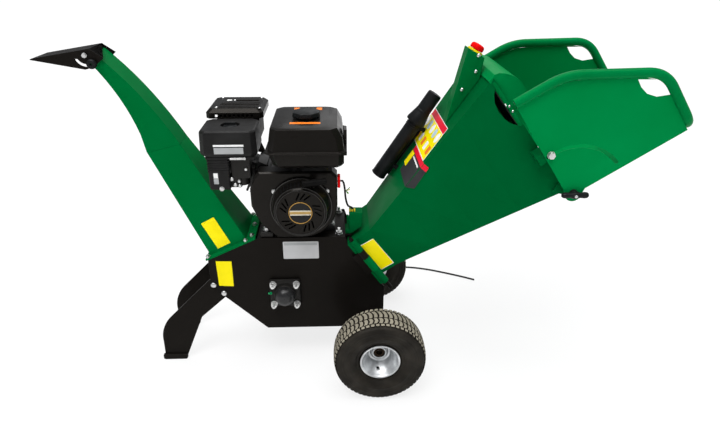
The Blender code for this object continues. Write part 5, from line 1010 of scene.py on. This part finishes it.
for label, side in SIDES:
    boss = [(0.0052, 0.0005), (0.0120, 0.0005), (0.0120, 0.0085), (0.0105, 0.0115), (0.0, 0.0118)]
    hub = lathe(f"knob_hub_{label}", boss, (PIVOT[0], side * 0.2376, PIVOT[1]), (0, side, 0), black_trim, 32)
    arm = [(0.0, 0.0), (0.0048, 0.0010), (0.0072, 0.0045), (0.0082, 0.0110), (0.0070, 0.0230), (0.0096, 0.0330),
           (0.0100, 0.0380), (0.0074, 0.0500), (0.0086, 0.0610), (0.0078, 0.0675), (0.0050, 0.0712), (0.0, 0.0720)]
    grip = lathe(f"knob_grip_{label}", arm, (0.5320, side * 0.2500, 0.6320), (1, 0, 0), black_trim, 28)
    set_on(merged(f"tray_knob_{label}_whole", [hub, grip]), f"tray_clamp_{label}", "black_plastic",
           f"tray_knob_{label}")
    domed_heads(f"tray_knob_bolt_{label}", f"tray_clamp_{label}", [(PIVOT[0], side * 0.2598, PIVOT[1])],
                (0, side, 0), 0.0042, 0.0014)


# Engine base, block and head
# A steel plate on the deck carries the engine on four bolts. Block, finned barrel and head are
# cast metal, sprayed black.

finish_node("engine_plate", body_black, "black_coat", 0.0008)
block_black = powder_coat("block_black", (0.0075, 0.0072, 0.0070), (0.016, 0.0155, 0.015), 0.42, 0.0, 0.35)
for node in ("engine_block", "cylinder_head"):
    finish_node(node, block_black, "casting", 0.0010)
finish_node("crankshaft", cast_iron, "casting", 0.0004)
PLATE_TOP, FOOT_TOP = 0.4380, 0.4550
plate_bolts = [(x, y, FOOT_TOP if (x, y) == (-0.267, -0.075) else PLATE_TOP)
               for x in (-0.267, -0.052) for y in (-0.075, 0.075)]
hex_fasteners("plate_bolts", "frame", plate_bolts, (0, 0, 1), 0.0100, 0.0100)
slab("block_foot", (-0.2850, -0.2460), (-0.0930, -0.0520), (PLATE_TOP - 0.0002, FOOT_TOP), cast_iron, 0.0040,
     "casting")
block_bolts = [(x, y, FOOT_TOP - 0.0020) for x in (-0.246, -0.072) for y in (-0.040, 0.070)]
hex_fasteners("block_bolts", "frame", block_bolts, (0, 0, 1), 0.0070, 0.0050)


# Blower shroud and recoil starter
# A pressed black shroud with a dished starter cover: three raised rings, groups of louvres,
# slots on its cone and a round plain badge. Two bright bolts hold it.

STARTER = (-0.1590, -0.1023, 0.5441)


def tucked_corner(at):
    """The skirt's lower left corner cut back to show the mounting bolt."""
    if at.z > 0.4900 or at.x > -0.2500:
        return at
    return Vector((at.x + (0.0300 if at.z < 0.4460 else 0.0130), at.y, at.z))


finish_node("blower_shroud", engine_black, "engine_black", 0.0014, 3, 24.0, tucked_corner)
finish_node("recoil_cover", engine_black, "engine_black", 0.0006, 2, 28.0)
# A near-black matte for the cone slots: painted shade where the vents open into the cover.
painted_slot_shade = moulded("painted_slot_shade", (0.0018, 0.0018, 0.0018), 0.8, 300.0, 0.00005, 1.2)
grip_black = moulded("grip_black", (0.0040, 0.0037, 0.0034), 0.55, 300.0, 0.00005, 1.2, 0.06)


def starter_ring(name, radius, out, wide, high, material):
    """A raised ring round the starter."""
    profile = [(radius - wide, out - 0.0008), (radius - wide * 0.5, out + high),
               (radius + wide * 0.5, out + high), (radius + wide, out - 0.0008)]
    return set_on(lathe(name, profile, STARTER, NEAR_OUT, material, 96, True, 50.0))


ring_black = powder_coat("ring_black", (0.0050, 0.0046, 0.0042), (0.0070, 0.0064, 0.0060), 0.26, 0.5, 0.3)
starter_ring("cover_ring_inner", 0.0680, 0.0472, 0.0016, 0.0014, ring_black)
starter_ring("cover_ring_middle", 0.0738, 0.0415, 0.0014, 0.0018, ring_black)
starter_ring("cover_ring_outer", 0.0872, 0.0060, 0.0024, 0.0034, ring_black)


def cone_slot(name, turn, half):
    """A slot down the cone of the starter cover, drawn as a near-black film of painted shade."""
    out = Vector((cos(turn), 0, sin(turn)))
    across = Vector((-sin(turn), 0, cos(turn))) * half
    foot, tip = (Vector(STARTER) + Vector(NEAR_OUT) * reach + out * radius
                 for reach, radius in ((0.0160, 0.0812), (0.0385, 0.0752)))
    corners = [foot - across, tip - across, tip + across, foot + across]
    normal = (corners[1] - corners[0]).cross(corners[3] - corners[0])
    if normal.dot(out) < 0:
        corners.reverse()
    return sticker(name, corners, 0.0012, 0.0005, painted_slot_shade)


for label, count, start, pitch, half in (("top", 6, 92.0, 8.0, 0.0019), ("right", 5, -38.0, 9.0, 0.0016),
                                         ("left", 3, 176.0, 9.0, 0.0016)):
    for number in range(count):
        cone_slot(f"cone_slot_{label}_{number}", radians(start + pitch * number), half)
starter_bolts = [(-0.2345, -0.1022, 0.5905), (-0.0845, -0.1022, 0.5895)]
hex_fasteners("starter_bolts", "frame", starter_bolts, NEAR_OUT, 0.0066, 0.0004)

badge_gold = plated("badge_gold", (0.62, 0.36, 0.10), 0.32)
badge_dark = printed("badge_dark", (0.012, 0.012, 0.012), 0.3)
badge_pale = printed("badge_pale", (0.58, 0.54, 0.44), 0.35)
badge_field = printed("badge_field", (0.42, 0.27, 0.09), 0.35)
BADGE_OUT = 0.0487
disc = [(0.0, BADGE_OUT), (0.0312, BADGE_OUT), (0.0312, 0.0465), (0.0, 0.0465)]
set_on(lathe("badge_disc", disc, STARTER, NEAR_OUT, badge_dark, 64))
starter_ring("badge_ring", 0.0322, 0.0484, 0.0016, 0.0012, badge_gold)
for label, low, high, reach, thick, material in (
        ("pale", -0.0072, 0.0078, 0.0296, 0.0003, badge_pale),
        ("field", -0.0036, 0.0042, 0.0292, 0.0005, badge_field)):
    front_film(f"badge_{label}", (STARTER[0] - reach, STARTER[0] + reach), (STARTER[2] + low, STARTER[2] + high),
               STARTER[1] - BADGE_OUT, material, 0.0006, thick)
finish_node("recoil_handle", grip_black, "black_plastic", 0.0015, 3, 30.0)


# Fuel tank
# Pressed steel, deep black gloss: a flat near face, long chamfers left and right, and a seam
# flange all round. A lobed plastic cap closes the filler; a strap holds the tank on the right.

TANK_TOP = 0.7830
FILLER = Vector((-0.1390, -0.0260))
SLOPE_FOOT, SLOPE_BEND, SLOPE_HEAD = 0.7680, 0.7700, 0.7800


def fuller_tank(at):
    """The tank with its upper slopes drawn up; the front stands taller under a flatter top."""
    if at.z < SLOPE_FOOT or (at.xy - FILLER).length < 0.028:
        return at
    if at.z < SLOPE_BEND:
        return Vector((at.x, at.y, 0.7790))
    if at.z < SLOPE_HEAD:
        return Vector((-0.2310 + (at.x + 0.2210) * 0.1620 / 0.1480,
                       -0.1250 + (at.y + 0.1290) * 0.2230 / 0.2270, 0.7812))
    return Vector((-0.2170 + (at.x + 0.2080) * 0.1360 / 0.1210,
                   -0.1130 + (at.y + 0.1030) * 0.1990 / 0.1850, at.z))


finish_node("fuel_tank", engine_black, "engine_black", 0.0018, 4, 20.0, fuller_tank)
finish_node("fuel_cap", black_trim, "black_plastic", 0.0014, 3, 26.0)
slab("tank_strap", (-0.0362, -0.0262), (-0.0720, -0.0300), (0.6840, 0.7600), engine_black, 0.0020)


def top_film(name, x_pair, y_pair):
    """An orange film that lies level on the tank."""
    (left, end), (near, far) = x_pair, y_pair
    corners = [(x, y, TANK_TOP) for x, y in ((left, near), (end, near), (end, far), (left, far))]
    return sticker(name, corners, 0.001, 0.0003, plain_orange)


top_film("tank_strip_front", (-0.1826, -0.0988), (-0.0900, -0.0735))
top_film("tank_strip_left", (-0.1790, -0.1635), (0.0530, 0.0790))
top_film("tank_strip_right", (-0.1135, -0.0970), (0.0520, 0.0790))


# Air cleaner and carburettor
# A black plastic cover with a recessed round nut stands on its base and an intake box with
# ribs. The carburettor hangs under it between the box and the shroud.

cleaner_black = moulded("cleaner_black", (0.0100, 0.0096, 0.0094), 0.42, 420.0, 0.00006, 1.35, 0.14)


def crisper_cover(at):
    """The cover's wide slope drawn up to a narrow one round its top."""
    if at.z < 0.7550 or Vector((at.x + 0.3500, at.y + 0.0500)).length < 0.032:
        return at
    if at.z < 0.7700:
        return Vector((at.x, at.y, 0.7668))
    return Vector((-0.3500 + (at.x + 0.3500) * 0.0722 / 0.0620,
                   -0.0540 + (at.y + 0.0540) * 0.0602 / 0.0500, at.z))


finish_node("air_cleaner_cover", cleaner_black, "engine_black", 0.0024, 4, 26.0, crisper_cover)
finish_node("air_cleaner_base", cleaner_black, "engine_black", 0.0010, 3)
finish_node("air_cleaner_knob", black_trim, "black_plastic", 0.0012, 3)
front_film("cleaner_strip", (-0.3877, -0.3058), (0.7303, 0.7358), -0.1200, plain_white)
front_film("cleaner_block", (-0.3868, -0.3075), (0.7095, 0.7272), -0.1200, plain_grey)
for number in range(5):
    low = 0.6525 + 0.0074 * number
    slab(f"intake_rib_{number}", (-0.4130, -0.3530), (-0.1086, -0.0400), (low, low + 0.0036), cleaner_black,
         0.0008)
front_film("intake_block", (-0.3987, -0.3856), (0.6166, 0.6497), -0.1070, plain_grey)
front_film("intake_block_top", (-0.3975, -0.3868), (0.6345, 0.6485), -0.1073, plain_white)
hex_fasteners("intake_bolt", "frame", [(-0.3786, -0.1070, 0.6028)], NEAR_OUT, 0.0062, 0.0004)
finish_node("carburettor", cast_iron, "casting", 0.0014, 3)
slab("carburettor_lug", (-0.3590, -0.3240), (-0.0925, -0.0600), (0.5990, 0.6340), cast_iron, 0.0040, "casting")
for label, spot, radius, reach in (("screw", (-0.3305, -0.0925, 0.6200), 0.0050, 0.006),
                                   ("drain", (-0.3430, -0.0925, 0.6080), 0.0056, 0.004),
                                   ("port", (-0.3090, -0.0940, 0.6560), 0.0050, 0.005),
                                   ("plug", (-0.3515, -0.0925, 0.6262), 0.0062, 0.005),
                                   ("stub", (-0.3300, -0.0925, 0.6050), 0.0048, 0.004)):
    profile = [(0.0, reach), (radius * 0.7, reach), (radius, reach * 0.6), (radius, -0.003)]
    set_on(lathe(f"carburettor_{label}", profile, spot, NEAR_OUT, zinc_plate, 20))
set_on(lathe("carburettor_bowl_band", [(0.0208, 0.0), (0.0224, 0.0008), (0.0224, 0.0042), (0.0208, 0.005)],
             (-0.3250, -0.0690, 0.6270), (0, 0, 1), zinc_plate, 40, True))
finish_node("choke_lever", zinc_plate, "zinc", 0.0006, 2, 32.0,
            lambda at: Vector((-0.3040 + (at.x + 0.3040) * 0.62, at.y, at.z)))
finish_node("throttle_lever", zinc_plate, "zinc", 0.0008)


# Muffler and its guard
# A black pressed guard with a row of square holes stands round the muffler. Its top has a
# raised bar, stamped ribs and four screws.

muffler_black = powder_coat("muffler_black", (0.0085, 0.0075, 0.0066), (0.0120, 0.0100, 0.0085), 0.55, 0.0, 0.1)


def shorter_body(at):
    """The muffler's can, a little shorter at the engine's end."""
    return Vector((-0.4040 + (at.x + 0.4040) * 0.888, at.y, at.z)) if at.z > 0.6895 else at


finish_node("muffler", muffler_black, "casting", 0.0015, 3, 32.0, shorter_body)


def shallow_lid(at):
    """The guard as a shallow lid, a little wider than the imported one."""
    return Vector((-0.4255 + (at.x + 0.4240) * 1.015 - 0.0045, at.y, max(at.z, 0.7695)))


finish_node("muffler_guard", engine_black, "engine_black", 0.0012, 3, 24.0, shallow_lid)
GUARD_TOP = 0.7960
slab("guard_bar", (-0.3560, -0.2880), (0.1180, 0.1400), (GUARD_TOP - 0.0006, GUARD_TOP + 0.0024), engine_black,
     0.0016)
for number in range(4):
    low = 0.0350 + 0.0175 * number
    slab(f"guard_rib_{number}", (-0.3960, -0.2820), (low, low + 0.0075), (GUARD_TOP - 0.0006, GUARD_TOP + 0.0016),
         engine_black, 0.0010)
# Two small white films on the guard's top are painted glints.
for number, (left, end, far) in enumerate(((-0.3850, -0.3700, 0.1280), (-0.3640, -0.3590, 0.1290))):
    slab(f"guard_slot_{number}", (left, end), (0.1170, far), (GUARD_TOP - 0.0006, GUARD_TOP + 0.0006),
         plain_white, 0.0003)
screws = [(x, y, GUARD_TOP) for x, y in ((-0.4020, 0.1500), (-0.2840, 0.1500), (-0.4020, 0.0400),
                                         (-0.2760, 0.0300))]
domed_heads("guard_screws", "frame", screws, (0, 0, 1), 0.0042, 0.0024)


# Stop switch and its lead
# A red switch sits on the right of the shroud. Its lead runs down to a green interlock box
# beside the hopper's throat, with a small bundle of bare-ended wires and three connectors.

finish_node("engine_switch", red_plastic, "red_plastic", 0.0008)
# The interlock box takes the darker copy of the green paint, as painted shade.
finish_node("interlock_box", funnel_green_painted_shade, "green_coat", 0.0010, 3)
finish_node("stop_lead", cable_sheath, "cable_sheath", 0.0)
wire_green = moulded("wire_green", (0.10, 0.30, 0.03), 0.45, 300.0, 0.00005, 1.2)
wire_yellow = moulded("wire_yellow", (0.70, 0.55, 0.03), 0.45, 300.0, 0.00005, 1.1)
WIRE_START = Vector((-0.0330, -0.0700, 0.5760))
WIRE_ENDS = ((0.014, 0.012, -0.004), (0.015, 0.002, 0.003), (0.011, -0.007, -0.003), (0.013, 0.006, 0.006),
             (0.009, -0.012, 0.004))
bundle = []
for number, (reach, rise, depth) in enumerate(WIRE_ENDS):
    route = [WIRE_START, WIRE_START + Vector((reach * 0.5, depth * 0.5, rise * 0.3)),
             WIRE_START + Vector((reach, depth, rise))]
    sheath = wire_yellow if number % 2 else wire_green
    bundle.append(settle(pipe(f"wire_{number}", smooth_route(route, 0.003), 0.0012, sheath, 2)))
set_on(merged("wire_bundle", bundle))
for number in range(3):
    left = -0.0210 + 0.0070 * number
    slab(f"connector_{number}", (left, left + 0.0045), (-0.0560, -0.0450), (0.5010, 0.5075), wire_yellow, 0.0008)
finish_node("lead_gland", black_trim, "black_plastic", 0.0006)


# Floor, light and picture
# A plain pale floor that runs out of sight, a broad light from the front left, a wide soft one
# straight above, a weak one behind and a pale room all round.

def pale_ground():
    """Pale and plain; seen by the eye and in reflections it is lifted most of the way to white."""
    material, tree, shader = new_material("pale_ground", (0.86, 0.86, 0.86), 0.9)
    shader.inputs["Specular IOR Level"].default_value = 0.0
    rays = add_node(tree, "ShaderNodeLightPath").outputs
    seen = reckon(tree, "MAXIMUM", rays["Is Camera Ray"], rays["Is Glossy Ray"])
    through = reckon(tree, "MAXIMUM", seen, rays["Is Transmission Ray"])
    glow = add_node(tree, "ShaderNodeEmission").outputs["Emission"]
    share = reckon(tree, "MULTIPLY", through, 0.8)
    mix = add_node(tree, "ShaderNodeMixShader", {"Fac": share, 1: shader.outputs["BSDF"], 2: glow})
    tree.links.new(mix.outputs["Shader"], tree.nodes["Material Output"].inputs["Surface"])
    return material


floor_mesh = bpy.data.meshes.new("floor")
floor_mesh.from_pydata([(-40, -40, 0), (40, -40, 0), (40, 40, 0), (-40, 40, 0)], [], [(0, 1, 2, 3)])
floor_mesh.materials.append(pale_ground())
floor = placed("floor", floor_mesh)


def add_light(name, kind, aim, power, **settings):
    """A light that shines along an aim."""
    light = bpy.data.lights.new(name, kind)
    light.energy = power
    for setting, value in settings.items():
        setattr(light, setting, value)
    lamp = placed(name, light)
    lamp.rotation_euler = Vector(aim).to_track_quat("-Z", "Y").to_euler()
    return lamp


add_light("broad_key", "SUN", (0.50, 0.90, -1.60), 1.15, angle=radians(24.0))
add_light("soft_above", "SUN", (0.0, 0.0, -1.0), 3.2, angle=radians(60.0))
BEHIND = Vector((0.6, 3.2, 2.6))
soft_behind = add_light("soft_behind", "AREA", Vector((0.0, 0.0, 0.5)) - BEHIND, 16.0, shape="DISK", size=2.6)
soft_behind.location = BEHIND

world = bpy.data.worlds.new("pale_room")
bpy.context.scene.world = world
world.use_nodes = True
room = world.node_tree.nodes["Background"].inputs
room["Color"].default_value = (0.92, 0.95, 1.0, 1.0)
room["Strength"].default_value = 0.30
bpy.context.scene.view_settings.view_transform = "Standard"
